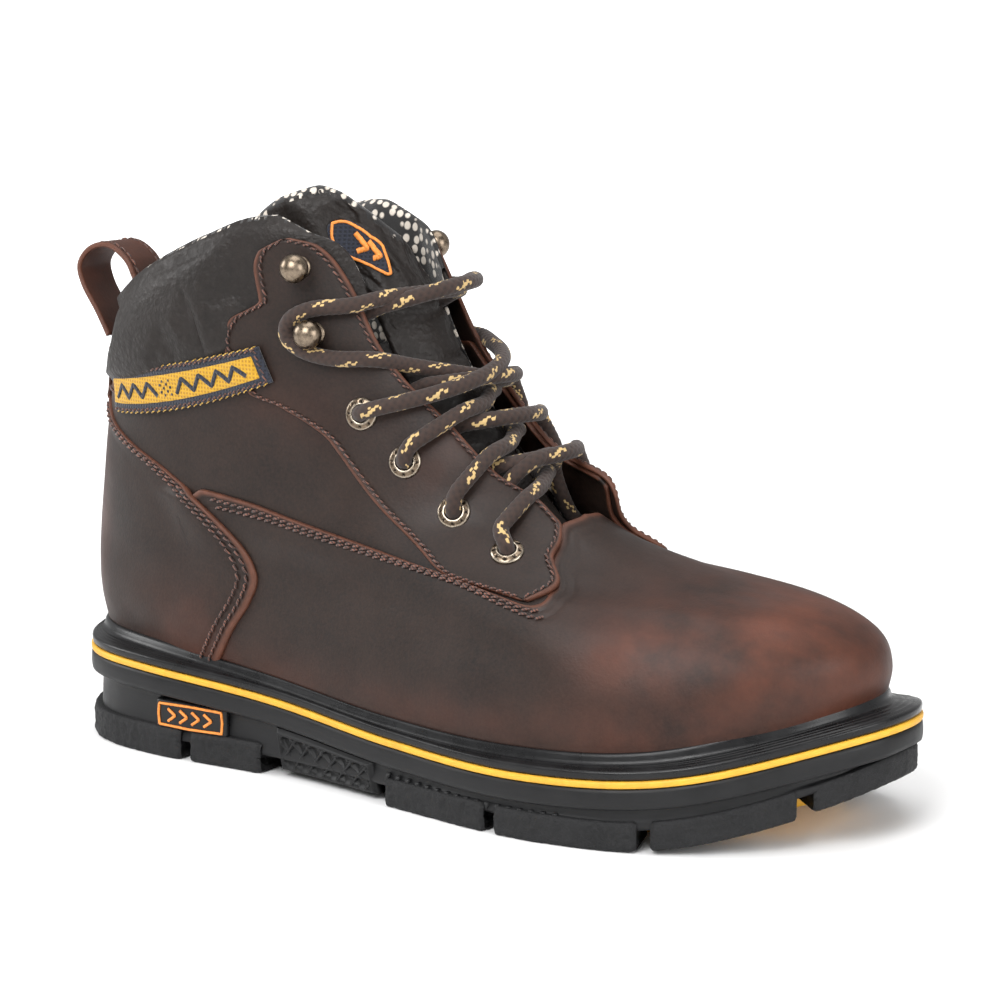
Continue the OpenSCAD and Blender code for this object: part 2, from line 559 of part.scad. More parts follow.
// One pass: up through an eyelet, over the throat, and down under the far facing to the next eyelet.
function eyelet_pass(k, side, top) =
    let(a = EYELETS[k], b = EYELETS[k + 1], edge = lookup(b[1] - 0.2, THROAT))
    [for (p = concat(run_out(a),
        [[-a[0] + 10, mix(a[1], b[1], 0.15), over_lift + 1],
         [0, max(mix(a[1], b[1], 0.62), vamp_clear), top],
         [edge - 7, max(mix(a[1], b[1], 0.86), vamp_clear), 0.6],
         [edge - 2, max(b[1] - 0.1, vamp_clear - 0.1), edge_lift],
         [edge + 6, b[1] + 0.04, edge_lift], [b[0] - 4, b[1], deep_lift]])) across(p, -side)];

// From the top eyelet over to the far lower hook, round its stem, and back to be tucked in behind the facing.
function hook_pass(side, top) =
    let(a = EYELETS[3], h = HOOKS[0], edge = lookup(h[1], THROAT))
    [for (p = concat(run_out(a),
        [[-a[0] + 10, a[1] + 0.12, over_lift + 1], [0, 7.1, top], [edge + 4, 7.25, over_lift + 0.6],
         [h[0] - 1, h[1] - 0.32, hook_lift], [h[0] + 4.9, h[1], hook_lift],
         [h[0] - 1, h[1] + 0.32, hook_lift],
         [edge + 3, 7.98, over_lift + 0.6], [0, 8.02, top], [-edge + 12, 7.95, 1],
         [-edge + 6, 7.85, edge_lift],
         [-edge - 1, 7.8, edge_lift], TIP_START])) across(p, -side)];

// The bar between the two bottom eyelets, which joins both halves of the lace.
BAR = [[44, 4.9, deep_lift], [33, 5.35, edge_lift], [24, 5.84, edge_lift + 2.5], [0, 6.05, 2.2]];
TIP_START = [-46, 7.8, edge_lift - 0.2];

function half_lace(side, top) = concat(
    [for (k = [0:2]) each eyelet_pass(k, k == 1 ? -side : side, top)], hook_pass(-side, top));
function laid(places, steps) =
    [for (i = [0:steps * (len(places) - 1)]) let(p = smooth(places, i / steps)) skin(p[0], p[1], p[2])];

module lace() color("#3a2a22") {
    far = half_lace(1, 6.9);
    near = half_lace(-1, 2.1);
    all = concat([for (i = [len(far) - 1:-1:0]) far[i]], [for (p = BAR) across(p, 1)],
                 [for (i = [len(BAR) - 2:-1:0]) across(BAR[i], -1)], near);
    cord(laid(all, 2), lace_d / 2, 6);
}

// The stiff tips, tucked up behind the facing.
module lace_tips() color("#2b2522")
    for (side = [-1, 1]) cord(laid([[side * 47, 7.86, TIP_START[2]], [side * 48.6, 8.1, TIP_START[2]],
                                    [side * 49, 8.5, TIP_START[2]]], 3), lace_d / 2 + 0.1, 8);

outsole();
heel_lift();
tread_core();
midsole();
yellow_layer();
welt();
heel_plaque();
bottom_filler();
steel_shank();
insole_board();
footbed();
steel_toe_cap();
toe_cap_edge_trim();
heel_stiffener();
vamp();
quarter(-1);  // quarter_lateral
quarter(1);  // quarter_medial
heel_counter();
eyestay(-1);  // eyestay_lateral
eyestay(1);  // eyestay_medial
collar_cover();
collar_foam();
collar_lining();
vamp_lining();
heel_lining();
quarter_lining();
back_strip();
side_label();
pull_loop();
tongue_base();
tongue_flap();
tongue_patch();
tongue_gussets();
eyelets();
eyelet_washers();
lace_hooks();
hook_rivets();
lace();
lace_tips();
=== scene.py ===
"""Visual model of the safety-toe work boot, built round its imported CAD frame.

Lengths in the functions are millimetres, and mesh() turns them into metres. A place on the upper is
(turn, rise, lift), as in the CAD: turn is the angle round the foot, 0 at the shin and 180 at the heel,
minus on the outer side; rise counts the rings from the sole; lift is the distance out from the skin.
"""
import math

import bpy
import numpy as np
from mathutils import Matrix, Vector
from mathutils.kdtree import KDTree


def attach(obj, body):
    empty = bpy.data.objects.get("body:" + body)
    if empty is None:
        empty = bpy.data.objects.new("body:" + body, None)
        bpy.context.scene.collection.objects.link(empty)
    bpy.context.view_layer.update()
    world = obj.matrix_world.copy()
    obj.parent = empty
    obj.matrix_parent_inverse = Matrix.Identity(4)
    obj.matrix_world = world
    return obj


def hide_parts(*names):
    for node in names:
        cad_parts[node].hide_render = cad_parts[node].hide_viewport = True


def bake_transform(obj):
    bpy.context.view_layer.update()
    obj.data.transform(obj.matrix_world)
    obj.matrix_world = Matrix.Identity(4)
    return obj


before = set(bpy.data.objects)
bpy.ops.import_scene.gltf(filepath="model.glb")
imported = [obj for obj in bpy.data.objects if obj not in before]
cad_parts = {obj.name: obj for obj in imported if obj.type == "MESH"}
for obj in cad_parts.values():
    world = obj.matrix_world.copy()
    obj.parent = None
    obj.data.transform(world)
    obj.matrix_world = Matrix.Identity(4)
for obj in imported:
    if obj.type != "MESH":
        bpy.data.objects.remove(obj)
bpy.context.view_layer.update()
MM = 0.001
rng = np.random.default_rng(11)

# ---------------------------------------------------------------- the foot shape, as in the CAD
# Rings of the upper from the sole up, each [x and z at the back, x and z at the front].
RINGS = [[-40, 36, 249, 41], [-43, 48, 252, 52], [-44, 59, 248, 62], [-43.5, 72, 232, 70],
         [-42, 86, 201, 74], [-40, 100, 158, 86], [-38, 114, 131, 108], [-37, 128, 111, 133],
         [-37, 143, 97, 159], [-35, 158, 88, 184], [-34, 171, 80, 207]]
# Half breadths of each ring at every COLUMN_TURN degrees from the front, on the outer side.
COLUMN_TURN = 22.5
OUTER = [[68, 68, 66, 59, 49, 44, 49, 58, 62], [70, 71, 67, 59, 48, 44, 51, 59, 62],
         [66, 66, 61, 54, 45, 42, 50, 57, 60], [58, 56, 52, 48, 41, 41, 49, 54, 58],
         [42, 41, 43, 42, 39, 40, 47, 51, 54], [37, 37, 38, 38, 37, 39, 44, 48, 50],
         [38, 38, 38, 37, 36, 38, 42, 45, 46], [39, 38, 38, 37, 37, 38, 40, 42, 43],
         [39, 38, 38, 38, 38, 38, 40, 41, 42], [39, 39, 39, 39, 39, 39, 40, 41, 41],
         [39, 39, 39, 39, 39, 39, 40, 41, 41]]
# What the inner side adds to the lowest rings.
INNER_EXTRA = [[0, 4, 0, -6, -12, -10, -3, 0, 0], [0, 3, 0, -5, -10, -8, -3, 0, 0],
               [0, 2, -1, -5, -7, -5, -2, 0, 0], [0, -3, -6, -6, -6, -3, -1, 0, 0],
               [0, -3, -5, -4, -4, -1, 0, 0, 0]]
RINGS = np.array(RINGS, float)
OUTER = np.array(OUTER, float)
INNER = OUTER.copy()
INNER[:len(INNER_EXTRA)] += INNER_EXTRA
# The sole's edge: half breadths in the same columns, and x at both ends.
SOLE_OUTER = np.array([70, 65, 71, 66, 53, 48, 62, 80, 84], float)
SOLE_INNER = np.array([70, 76, 71, 59, 43, 40, 59, 79, 84], float)
SOLE_FRONT, SOLE_BACK = 261.0, -42.5
# Height of the yellow line at every LINE_STEP from LINE_X0, and of the upper's lower edge over it.
LINE_Z = np.array([31, 29.6, 25.6, 21.1, 20, 23, 36], float)
LINE_X0, LINE_STEP = -45.0, 51.0
FEATHER = 6.0


def spline(a, b, c, d, t):
    """Catmull-Rom value between b and c."""
    return (2 * b + (c - a) * t + (2 * a - 5 * b + 4 * c - d) * t**2 + (3 * b - a - 3 * c + d) * t**3) / 2


def smooth(table, u):
    """Catmull-Rom value of a table's rows at fractional indices u."""
    table = np.asarray(table, float)
    last = len(table) - 1
    u = np.asarray(u, float)
    i = np.clip(np.floor(u).astype(int), 0, last - 1)
    t = np.clip(u - i, 0, 1)
    b, c = table[i], table[i + 1]
    shape = (...,) + (None,) * (table.ndim - 1)
    a = np.where((i > 0)[shape], table[np.maximum(i - 1, 0)], 2 * b - c)
    d = np.where((i + 2 <= last)[shape], table[np.minimum(i + 2, last)], 2 * c - b)
    return spline(a, b, c, d, t[shape])


def breadth(rows, turn):
    """Half breadth along rows (..., 9) at a turn; the row mirrors at both ends."""
    u = np.clip(np.abs(turn) / COLUMN_TURN, 0, 8)
    i = np.minimum(u.astype(int), 7)

    def pick(k):
        return np.take_along_axis(rows, np.clip(k, 0, 8)[..., None], -1)[..., 0]

    b, c = pick(i), pick(i + 1)
    a = np.where(i > 0, pick(i - 1), c)
    d = np.where(i < 7, pick(i + 2), b)
    return spline(a, b, c, d, u - i)


def fold(turn):
    """The same turn, from -180 to 180."""
    return (np.asarray(turn, float) + 180) % 360 - 180


def line_z(x):
    return smooth(LINE_Z, (np.asarray(x, float) - LINE_X0) / LINE_STEP)


def foot(turn, rise):
    """The point of the foot shape at a place."""
    turn, rise = np.broadcast_arrays(fold(turn), np.asarray(rise, float))
    ring = smooth(RINGS, rise)
    row = np.where((turn < 0)[..., None], smooth(OUTER, rise), smooth(INNER, rise))
    t = (1 - np.cos(np.radians(turn))) / 2
    x = ring[..., 2] + (ring[..., 0] - ring[..., 2]) * t
    low = np.clip(1 - rise / 4, 0, 1) ** 2
    plane = RINGS[0, 3] + (RINGS[0, 1] - RINGS[0, 3]) * (x - RINGS[0, 2]) / (RINGS[0, 0] - RINGS[0, 2])
    z = ring[..., 3] + (ring[..., 1] - ring[..., 3]) * t + low * (line_z(x) + FEATHER - plane)
    swing = 5 * np.clip((x - 120) / 125, 0, 1) ** 2 * np.clip(1 - rise / 5, 0, 1)
    return np.stack([x, swing + breadth(row, turn) * np.sin(np.radians(turn)), z], -1)


def unit(v):
    return v / np.maximum(np.linalg.norm(v, axis=-1, keepdims=True), 1e-9)


def outward(turn, rise):
    rise = np.clip(rise, 0.05, 9.95)
    return unit(np.cross(foot(turn + 1.5, rise) - foot(turn - 1.5, rise),
                         foot(turn, rise + 0.05) - foot(turn, rise - 0.05)))


def skin(turn, rise, lift=0.0):
    turn, rise, lift = np.broadcast_arrays(*(np.asarray(value, float) for value in (turn, rise, lift)))
    return foot(turn, rise) + lift[..., None] * outward(turn, rise)


def soft(table, x):
    """Smooth value of a table of [x, y] points, with no overshoot."""
    xs, ys = np.array(table, float).T
    h, d = np.diff(xs), np.diff(ys) / np.diff(xs)
    both = d[:-1] + d[1:]
    inner = np.where(d[:-1] * d[1:] > 0, 2 * d[:-1] * d[1:] / np.where(both == 0, 1, both), 0)
    m = np.concatenate([d[:1], inner, d[-1:]])
    x = np.clip(np.asarray(x, float), xs[0], xs[-1])
    i = np.clip(np.searchsorted(xs, x, side="right") - 1, 0, len(h) - 1)
    t = (x - xs[i]) / h[i]
    return ((2 * t**3 - 3 * t**2 + 1) * ys[i] + (t**3 - 2 * t**2 + t) * h[i] * m[i]
            + (3 * t**2 - 2 * t**3) * ys[i + 1] + (t**3 - t**2) * h[i] * m[i + 1])


def step(x, lo, hi):
    """Rises smoothly from 0 at lo to 1 at hi."""
    t = np.clip((x - lo) / (hi - lo), 0, 1)
    return t * t * (3 - 2 * t)


def bell(x, middle, width):
    return np.exp(-((x - middle) / width) ** 2)


def quarter_round(x, least=0.0):
    """Height of a quarter circle, 0 to 1, as x goes from 0 to 1."""
    return np.sqrt(np.clip(1 - (1 - np.clip(x, 0, 1)) ** 2, least, 1))


def run_along(path):
    """Distance along a path at each of its points."""
    return np.concatenate([[0], np.cumsum(np.linalg.norm(np.diff(path, axis=0), axis=-1))])


# Outlines of the panels on one side as [turn, rise], as in the CAD, but the vamp runs a little further
# under the facings. COUNTER_EDGE, THROAT and EYESTAY_BACK are [rise, turn].
TOPLINE = [[38, 8.3], [41, 8.85], [46, 9.1], [56, 9.28], [75, 9.42], [94, 9.28], [123, 8.93],
           [159, 8.52], [180, 8.42]]
COLLAR_SEAM = [[0, 7.3], [78, 7.25], [140, 6.5], [180, 6.5]]
VAMP_TOP = [[0, 5.3], [16, 5.22], [26, 4.98], [41, 4.53], [55, 3.67], [64, 3.0], [68, 3.2], [74, 3.7],
            [83, 4.12], [94, 4.44], [103, 4.66], [113, 4.72], [118, 4.5], [124, 4.4]]
QUARTER_TOP = [[22, 5.42], [29, 5.85], [32, 6.4], [40, 6.95], [44, 7.25], [78, 7.25], [140, 6.5], [180, 6.5]]
QUARTER_LOW = [[22, 5.28], [41, 4.48], [56, 3.6], [63, 2.6], [108, 3.9], [120, 3.4], [126, 0.1], [180, 0.1]]
COUNTER_EDGE = [[0, 121], [1, 117], [1.8, 113.8], [2.6, 111.5], [3.4, 112], [4.5, 116.7], [5, 123],
                [5.4, 136], [5.7, 147], [6.1, 157]]
THROAT = [[3.1, 63.4], [3.8, 52], [4.5, 40.6], [4.95, 26], [5.15, 21], [5.4, 20], [5.8, 27.4], [6.4, 31],
          [7, 38], [7.5, 41.5], [8.1, 43], [8.5, 46], [8.8, 51], [8.98, 60]]
EYESTAY_BACK = [[3.1, 64.4], [3.7, 73.5], [5, 68], [6.1, 70], [6.6, 80], [6.75, 87], [7.5, 90], [7.9, 85],
                [8.15, 74], [8.6, 73.5], [8.85, 71], [8.98, 63]]
EYELETS = [[50, 4.53], [49.3, 5.23], [52.2, 5.92], [56.5, 6.56]]
HOOKS = [[60, 7.64], [58.5, 8.55]]

# ---------------------------------------------------------------- meshes


def mesh(name, points, faces, materials, face_slots=None, body="boot", replaces=(), slot=None, values=None):
    """One smooth-shaded piece from millimetre points. values holds float attributes per vertex."""
    data = bpy.data.meshes.new(name)
    data.from_pydata((np.asarray(points) * MM).tolist(), [], [list(map(int, f)) for f in faces])
    for m in materials:
        data.materials.append(m)
    if face_slots is not None:
        data.polygons.foreach_set("material_index", np.asarray(face_slots, np.int32))
    data.polygons.foreach_set("use_smooth", np.ones(len(data.polygons), bool))
    for key, value in (values or {}).items():
        attribute = data.attributes.new(key, "FLOAT", "POINT")
        attribute.data.foreach_set("value", np.asarray(value, np.float32).ravel())
    data.update()
    thing = bpy.data.objects.new(name, data)
    bpy.context.scene.collection.objects.link(thing)
    if body:
        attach(thing, body)
    if replaces:
        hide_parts(*replaces)
    return thing


def grid_faces(rows, cols, start=0, flip=False, wrap_rows=False, wrap_cols=False):
    """Four-cornered faces between the points of a grid, which may close on itself either way."""
    r = np.arange(rows if wrap_rows else rows - 1)
    c = np.arange(cols if wrap_cols else cols - 1)
    r, c = np.meshgrid(r, c, indexing="ij")
    r1, c1 = (r + 1) % rows, (c + 1) % cols
    quads = np.stack([r * cols + c, r1 * cols + c, r1 * cols + c1, r * cols + c1], -1).reshape(-1, 4) + start
    return quads[:, ::-1] if flip else quads


def outward_volume(points, faces):
    """Six times the signed volume, to tell which way a closed mesh faces."""
    tri = np.concatenate([faces[:, [0, 1, 2]], faces[:, [0, 2, 3]]])
    a, b, c = points[tri[:, 0]], points[tri[:, 1]], points[tri[:, 2]]
    return float(np.einsum("ij,ij->i", a, np.cross(b, c)).sum())


def turned_outward(points, faces):
    return faces[:, ::-1] if outward_volume(points, faces) < 0 else faces


def closed_shell(top, bottom):
    """Points and faces of the solid between two equal grids: top's faces, bottom's, then the rim's."""
    rows, cols = top.shape[:2]
    total = rows * cols
    ring = np.concatenate([np.arange(cols), np.arange(1, rows) * cols + cols - 1,
                           (rows - 1) * cols + np.arange(cols - 2, -1, -1),
                           np.arange(rows - 2, 0, -1) * cols])
    nxt = np.roll(ring, -1)
    wall = np.stack([ring, nxt, nxt + total, ring + total], -1)
    faces = np.concatenate([grid_faces(rows, cols), grid_faces(rows, cols, total, flip=True), wall])
    points = np.concatenate([top.reshape(-1, 3), bottom.reshape(-1, 3)])
    return points, turned_outward(points, faces)


class Panel:
    """A leather panel between two boundaries, each a list of (turn, rise) places of equal length."""

    def __init__(self, near, far, across, edge=0.8, near_round=True, far_round=True, ends_round=False):
        near, far = np.array(near, float), np.array(far, float)
        share = np.linspace(0, 1, 9)[None, :, None]
        chain = near[:, None] * (1 - share) + far[:, None] * share
        pts = skin(chain[..., 0], chain[..., 1])
        self.width = np.maximum(np.linalg.norm(np.diff(pts, axis=1), axis=-1).sum(1), 0.05)
        self.near, self.far = near, far
        fixed = np.array([0, 0.12, 0.35, 0.7, 1.1, 1.6, 2.2, 2.7, 3.2, 4.0, 5.0, 5.6, 6.3, 8.0])
        middle = np.linspace(0, 1, across)[1:-1]
        w = self.width[:, None]
        reach = np.minimum(fixed[-1], w * 0.45) / fixed[-1]
        left = fixed[None] * reach
        right = w - fixed[::-1][None] * reach
        body = left[:, -1:] + (right[:, :1] - left[:, -1:]) * middle[None]
        self.from_near = np.concatenate([left, body, right], 1)
        self.from_far = w - self.from_near
        s = (self.from_near / w)[..., None]
        place = near[:, None] * (1 - s) + far[:, None] * s
        self.turn, self.rise = place[..., 0], place[..., 1]
        big = 99.0
        self.gap = np.minimum(self.from_near if near_round else big, self.from_far if far_round else big)
        if ends_round:
            run = run_along(pts[:, 4])
            self.gap = np.minimum(self.gap, np.minimum(run, run[-1] - run)[:, None])
        self.gap = np.broadcast_to(self.gap, self.turn.shape)
        self.edge = edge

    def line(self, distance, from_far=False):
        """Places at a distance from one boundary."""
        s = np.clip(distance / self.width, 0, 1)
        s = (1 - s if from_far else s)[:, None]
        return self.near * (1 - s) + self.far * s

    def build(self, name, lift, thick, materials, grooves=(), **given):
        """lift is a number or a function of (turn, rise). grooves are (distance, from_far) stitch lines."""
        top = lift(self.turn, self.rise) if callable(lift) else np.full(self.turn.shape, float(lift))
        top = top - self.edge * (1 - quarter_round(self.gap / self.edge))
        for distance, far in grooves:
            top = top - 0.3 * bell(self.from_far if far else self.from_near, distance, 0.7)
        swell = 0.22 * bell(self.gap, 1.7, 1.0)
        outer = skin(self.turn, self.rise, top + swell)
        base = lift(self.turn, self.rise) if callable(lift) else float(lift)
        inner = skin(self.turn, self.rise, base - thick)
        points, faces = closed_shell(outer, inner)
        rub = np.concatenate([(1 - step(self.gap, 0.7, 2.0)).ravel()] * 2)
        # The second value tints the leather red-brown where it is pulled and paints a highlight on the toe's
        # top.
        values = {"rub": rub, "pull_and_highlight": pull_and_highlight_tint(points)}
        return mesh(name, points, faces, materials, values=values, **given)


def pull_and_highlight_tint(p):
    """Where the oiled leather is pulled and turns red-brown: the toe, the heel sides, the instep. The toe's
    top and the two spots on it also carry a painted highlight.
    """
    x, z = p[:, 0], p[:, 2]
    # Painted highlight, mixed with the pulled red-brown: the toe, strongest on its top, and the two spots on
    # it.
    toe = step(x, 150, 235) * (0.55 + 0.45 * bell(z, 62, 18))
    spot = 0.9 * bell(x, 196, 16) * bell(z, 60, 9) + 0.7 * bell(x, 232, 12) * bell(z, 62, 12)
    heel = 0.75 * step(-x, 20, 42) + 0.45 * bell(x, 15, 22) * bell(z, 46, 16)
    instep = 0.35 * bell(x, 112, 14) * bell(z, 106, 14) + 0.3 * bell(x, 60, 22) * bell(z, 120, 12)
    low = 0.35 * bell(z, 34, 8)
    return np.clip(toe + spot + heel + instep + low, 0, 1.3)


def frames_along(path):
    """Forward, side and up directions along a path, turning as little as possible."""
    ahead = unit(np.gradient(path, axis=0))
    side = np.zeros_like(path)
    start = np.array([0, 0, 1.0]) if abs(ahead[0, 2]) < 0.9 else np.array([1.0, 0, 0])
    side[0] = unit(np.cross(ahead[0], start))
    for i in range(1, len(path)):
        s = side[i - 1] - ahead[i] * np.dot(side[i - 1], ahead[i])
        side[i] = s / max(np.linalg.norm(s), 1e-9)
    return ahead, side, np.cross(ahead, side)


def resample(path, gap):
    """The same path with evenly spaced points."""
    run = run_along(path)
    at = np.linspace(0, run[-1], max(2, int(round(run[-1] / gap)) + 1))
    return np.stack([np.interp(at, run, path[:, k]) for k in range(path.shape[1])], -1)


def section_ring(angle, side, top, flat=1.0):
    """Directions round a section at each point of a path. flat below 1 squashes it along top."""
    return np.cos(angle)[None, :, None] * side[:, None] + flat * np.sin(angle)[None, :, None] * top[:, None]


THREAD_ANGLES = np.radians(np.arange(0, 360, 60))


def stitches(name, rows, material, pitch=3.0, thread=0.42, slot=None):
    """Sewn stitches that dive in at both ends. Each row is (places, lift function or number)."""
    at = np.array([-0.48, -0.36, -0.14, 0.14, 0.36, 0.48])
    arch = np.array([-0.47, 0.23, 0.43, 0.43, 0.23, -0.47])
    fat = np.array([0.45, 0.9, 1.0, 1.0, 0.9, 0.45])
    sides = len(THREAD_ANGLES)
    size = len(at) * sides
    pts, faces, caps = [], [], []
    for places, lift in rows:
        places = np.asarray(places, float)
        up = lift(places[:, 0], places[:, 1]) if callable(lift) else lift
        line = np.concatenate([skin(places[:, 0], places[:, 1], up), places], 1)
        run = run_along(line[:, :3])
        for centre in np.arange(pitch / 2, run[-1], pitch):
            s = centre + at * pitch * 0.94
            p = np.stack([np.interp(s, run, line[:, k]) for k in range(5)], -1)
            n = outward(p[:, 3], p[:, 4])
            w = unit(np.cross(n, unit(np.gradient(p[:, :3], axis=0))))
            middle = p[:, :3] + n * arch[:, None] + w * (at * 0.9)[:, None]
            first = len(pts) * size
            tube = middle[:, None] + thread * fat[:, None, None] * section_ring(THREAD_ANGLES, w, n)
            pts.append(tube.reshape(-1, 3))
            faces += grid_faces(len(at), sides, first, wrap_cols=True).tolist()
            caps += [[first + i for i in range(sides)], [first + size - 1 - i for i in range(sides)]]
    shade = np.repeat(rng.random(len(pts)), size)
    return mesh(name, np.concatenate(pts), faces + caps, [material], slot=slot, values={"shade": shade})


HASH_PRIMES = (73856093, 19349663, 83492791)
HASH_FACTOR = 2654435761
HASH_RANGE = 2**32


def noise3(p, scale, seed):
    """Smooth value noise in [-1, 1] at points p."""
    q = p / scale
    i = np.floor(q).astype(np.int64)
    f = q - i
    f = f * f * (3 - 2 * f)
    total = np.zeros(len(p))
    for corner in np.ndindex(2, 2, 2):
        h = np.bitwise_xor.reduce((i + corner) * HASH_PRIMES, axis=1) ^ seed
        v = ((h * HASH_FACTOR) % HASH_RANGE) / HASH_RANGE * 2 - 1
        total += v * np.prod(np.where(corner, f, 1 - f), axis=1)
    return total


# ---------------------------------------------------------------- materials


# Places of the colour sockets among a mix node's inputs and outputs.
MIX_FACTOR, MIX_A, MIX_B, MIX_RESULT = 0, 6, 7, 2


class Nodes:
    """A small helper for one material's node tree."""

    def __init__(self, name):
        self.material = bpy.data.materials.new(name)
        self.material.use_nodes = True
        self.tree = self.material.node_tree
        self.shader = self.tree.nodes["Principled BSDF"]
        self.where = self.add("ShaderNodeTexCoord").outputs["Object"]

    def add(self, kind, **settings):
        node = self.tree.nodes.new(kind)
        for key, value in settings.items():
            setattr(node, key, value)
        return node

    def put(self, value, socket):
        if isinstance(value, bpy.types.NodeSocket):
            self.tree.links.new(value, socket)
        elif isinstance(value, (tuple, list)) and len(value) == 3 and socket.type == "RGBA":
            socket.default_value = (*value, 1)
        else:
            socket.default_value = value

    def noise(self, scale, detail=2.0, rough=0.5, vector=None):
        node = self.add("ShaderNodeTexNoise")
        self.put(vector or self.where, node.inputs["Vector"])
        node.inputs["Scale"].default_value = scale
        node.inputs["Detail"].default_value = detail
        node.inputs["Roughness"].default_value = rough
        return node.outputs["Fac"]

    def cells(self, scale, feature="F1", vector=None, randomness=1.0):
        node = self.add("ShaderNodeTexVoronoi", feature=feature)
        self.put(vector or self.where, node.inputs["Vector"])
        node.inputs["Scale"].default_value = scale
        node.inputs["Randomness"].default_value = randomness
        return node.outputs["Distance"]

    def value(self, name):
        return self.add("ShaderNodeAttribute", attribute_name=name).outputs["Fac"]

    def math(self, operation, a, b=0.0, clamp=False):
        node = self.add("ShaderNodeMath", operation=operation, use_clamp=clamp)
        self.put(a, node.inputs[0])
        self.put(b, node.inputs[1])
        return node.outputs[0]

    def ramp(self, value, lo, hi, out_lo=0.0, out_hi=1.0):
        node = self.add("ShaderNodeMapRange")
        self.put(value, node.inputs["Value"])
        for key, v in (("From Min", lo), ("From Max", hi), ("To Min", out_lo), ("To Max", out_hi)):
            node.inputs[key].default_value = v
        return node.outputs["Result"]

    def mix(self, factor, a, b):
        node = self.add("ShaderNodeMix", data_type="RGBA")
        self.put(factor, node.inputs[MIX_FACTOR])
        self.put(a, node.inputs[MIX_A])
        self.put(b, node.inputs[MIX_B])
        return node.outputs[MIX_RESULT]

    def scaled(self, vector, size):
        node = self.add("ShaderNodeMapping")
        self.put(vector, node.inputs["Vector"])
        node.inputs["Scale"].default_value = size
        return node.outputs["Vector"]

    def bump(self, height, distance_mm, strength=1.0, under=None):
        node = self.add("ShaderNodeBump")
        node.inputs["Strength"].default_value = strength
        node.inputs["Distance"].default_value = distance_mm * MM
        self.put(height, node.inputs["Height"])
        if under is not None:
            self.put(under, node.inputs["Normal"])
        return node.outputs["Normal"]

    def finish(self, color, rough, normal=None, **more):
        self.put(color, self.shader.inputs["Base Color"])
        self.put(rough, self.shader.inputs["Roughness"])
        if normal is not None:
            self.put(normal, self.shader.inputs["Normal"])
        for key, v in more.items():
            self.put(v, self.shader.inputs[key.replace("_", " ")])
        return self.material


def smooth_leather():
    """Oiled pull-up leather: dark brown clouds, red-brown where pulled with a painted highlight on the toe,
    lighter burnished edges.
    """
    n = Nodes("smooth_leather")
    cloud = n.noise(38, 4, 0.6)
    fine = n.noise(950, 3, 0.6)
    # Red-brown where the leather is pulled, and a painted highlight on the toe, mixed in two lines down.
    pull = n.math("MULTIPLY", n.value("pull_and_highlight"), n.ramp(n.noise(26, 5, 0.62), 0.3, 0.68), clamp=True)
    brown = n.mix(n.ramp(cloud, 0.3, 0.7), (0.0072, 0.0045, 0.0036), (0.0180, 0.0104, 0.0078))
    brown = n.mix(n.math("MULTIPLY", pull, 0.85), brown, (0.115, 0.033, 0.0165))
    brown = n.mix(n.ramp(fine, 0.35, 0.75, 0.0, 0.2), brown, (0.07, 0.033, 0.021))
    rub = n.math("MULTIPLY", n.value("rub"), n.ramp(n.noise(300, 3), 0.25, 0.7, 0.55, 1.0), clamp=True)
    brown = n.mix(rub, brown, (0.115, 0.042, 0.024))
    pores = n.bump(n.cells(1100), 0.05, 0.55)
    grain = n.bump(fine, 0.07, 0.6, pores)
    crease = n.bump(n.noise(120, 5, 0.6), 0.22, 0.5, grain)
    return n.finish(brown, n.ramp(n.noise(60, 4), 0.3, 0.7, 0.44, 0.58), crease, Specular_IOR_Level=0.3)


def grain_leather():
    """Soft pebble-grain leather."""
    n = Nodes("grain_leather")
    tint = (0.0078, 0.0058, 0.0049)
    wide = n.cells(520, "SMOOTH_F1")
    small = n.cells(1150)
    tone = n.mix(n.ramp(n.noise(60, 4), 0.3, 0.7), tint, tuple(c * 1.7 for c in tint))
    tone = n.mix(n.ramp(wide, 0.0, 0.9, 0.35, 0.0), tone, tuple(c * 3.1 for c in tint))
    pebble = n.bump(n.math("SUBTRACT", 1.0, wide), 0.34, 0.85)
    pebble = n.bump(n.math("SUBTRACT", 1.0, small), 0.13, 0.7, pebble)
    folds = n.bump(n.noise(70, 5, 0.6), 0.7, 0.55, pebble)
    return n.finish(tone, n.ramp(wide, 0.1, 0.8, 0.42, 0.6), folds, Specular_IOR_Level=0.3)


def rubber(name, roughness=0.5, pebbled=False):
    """Black moulded rubber, satin on the walls, pebbled on the lugs."""
    n = Nodes(name)
    dust = n.noise(90, 5, 0.65)
    base = n.mix(n.ramp(dust, 0.3, 0.75), (0.0038, 0.0039, 0.0044), (0.0105, 0.0105, 0.0113))
    if pebbled:
        bits = n.noise(1050, 4, 0.7)
        base = n.mix(n.ramp(bits, 0.45, 0.8, 0.0, 0.6), base, (0.036, 0.036, 0.038))
        normal = n.bump(bits, 0.5, 0.9)
        return n.finish(base, n.ramp(bits, 0.3, 0.8, 0.55, 0.85), normal, Specular_IOR_Level=0.35)
    lines = n.bump(n.noise(1.0, 3, 0.6, n.scaled(n.where, (60, 60, 1800))), 0.05, 0.6)
    speck = n.bump(n.noise(1500, 2), 0.03, 0.5, lines)
    sheen = n.ramp(dust, 0.3, 0.75, roughness - 0.1, roughness + 0.12)
    return n.finish(base, sheen, speck, Specular_IOR_Level=0.32)


def yellow_rubber():
    n = Nodes("yellow_rubber")
    dirt = n.noise(160, 5, 0.7)
    tone = n.mix(n.ramp(dirt, 0.35, 0.8), (0.78, 0.42, 0.03), (0.6, 0.29, 0.025))
    return n.finish(tone, 0.5, n.bump(n.noise(900, 3), 0.05, 0.6))


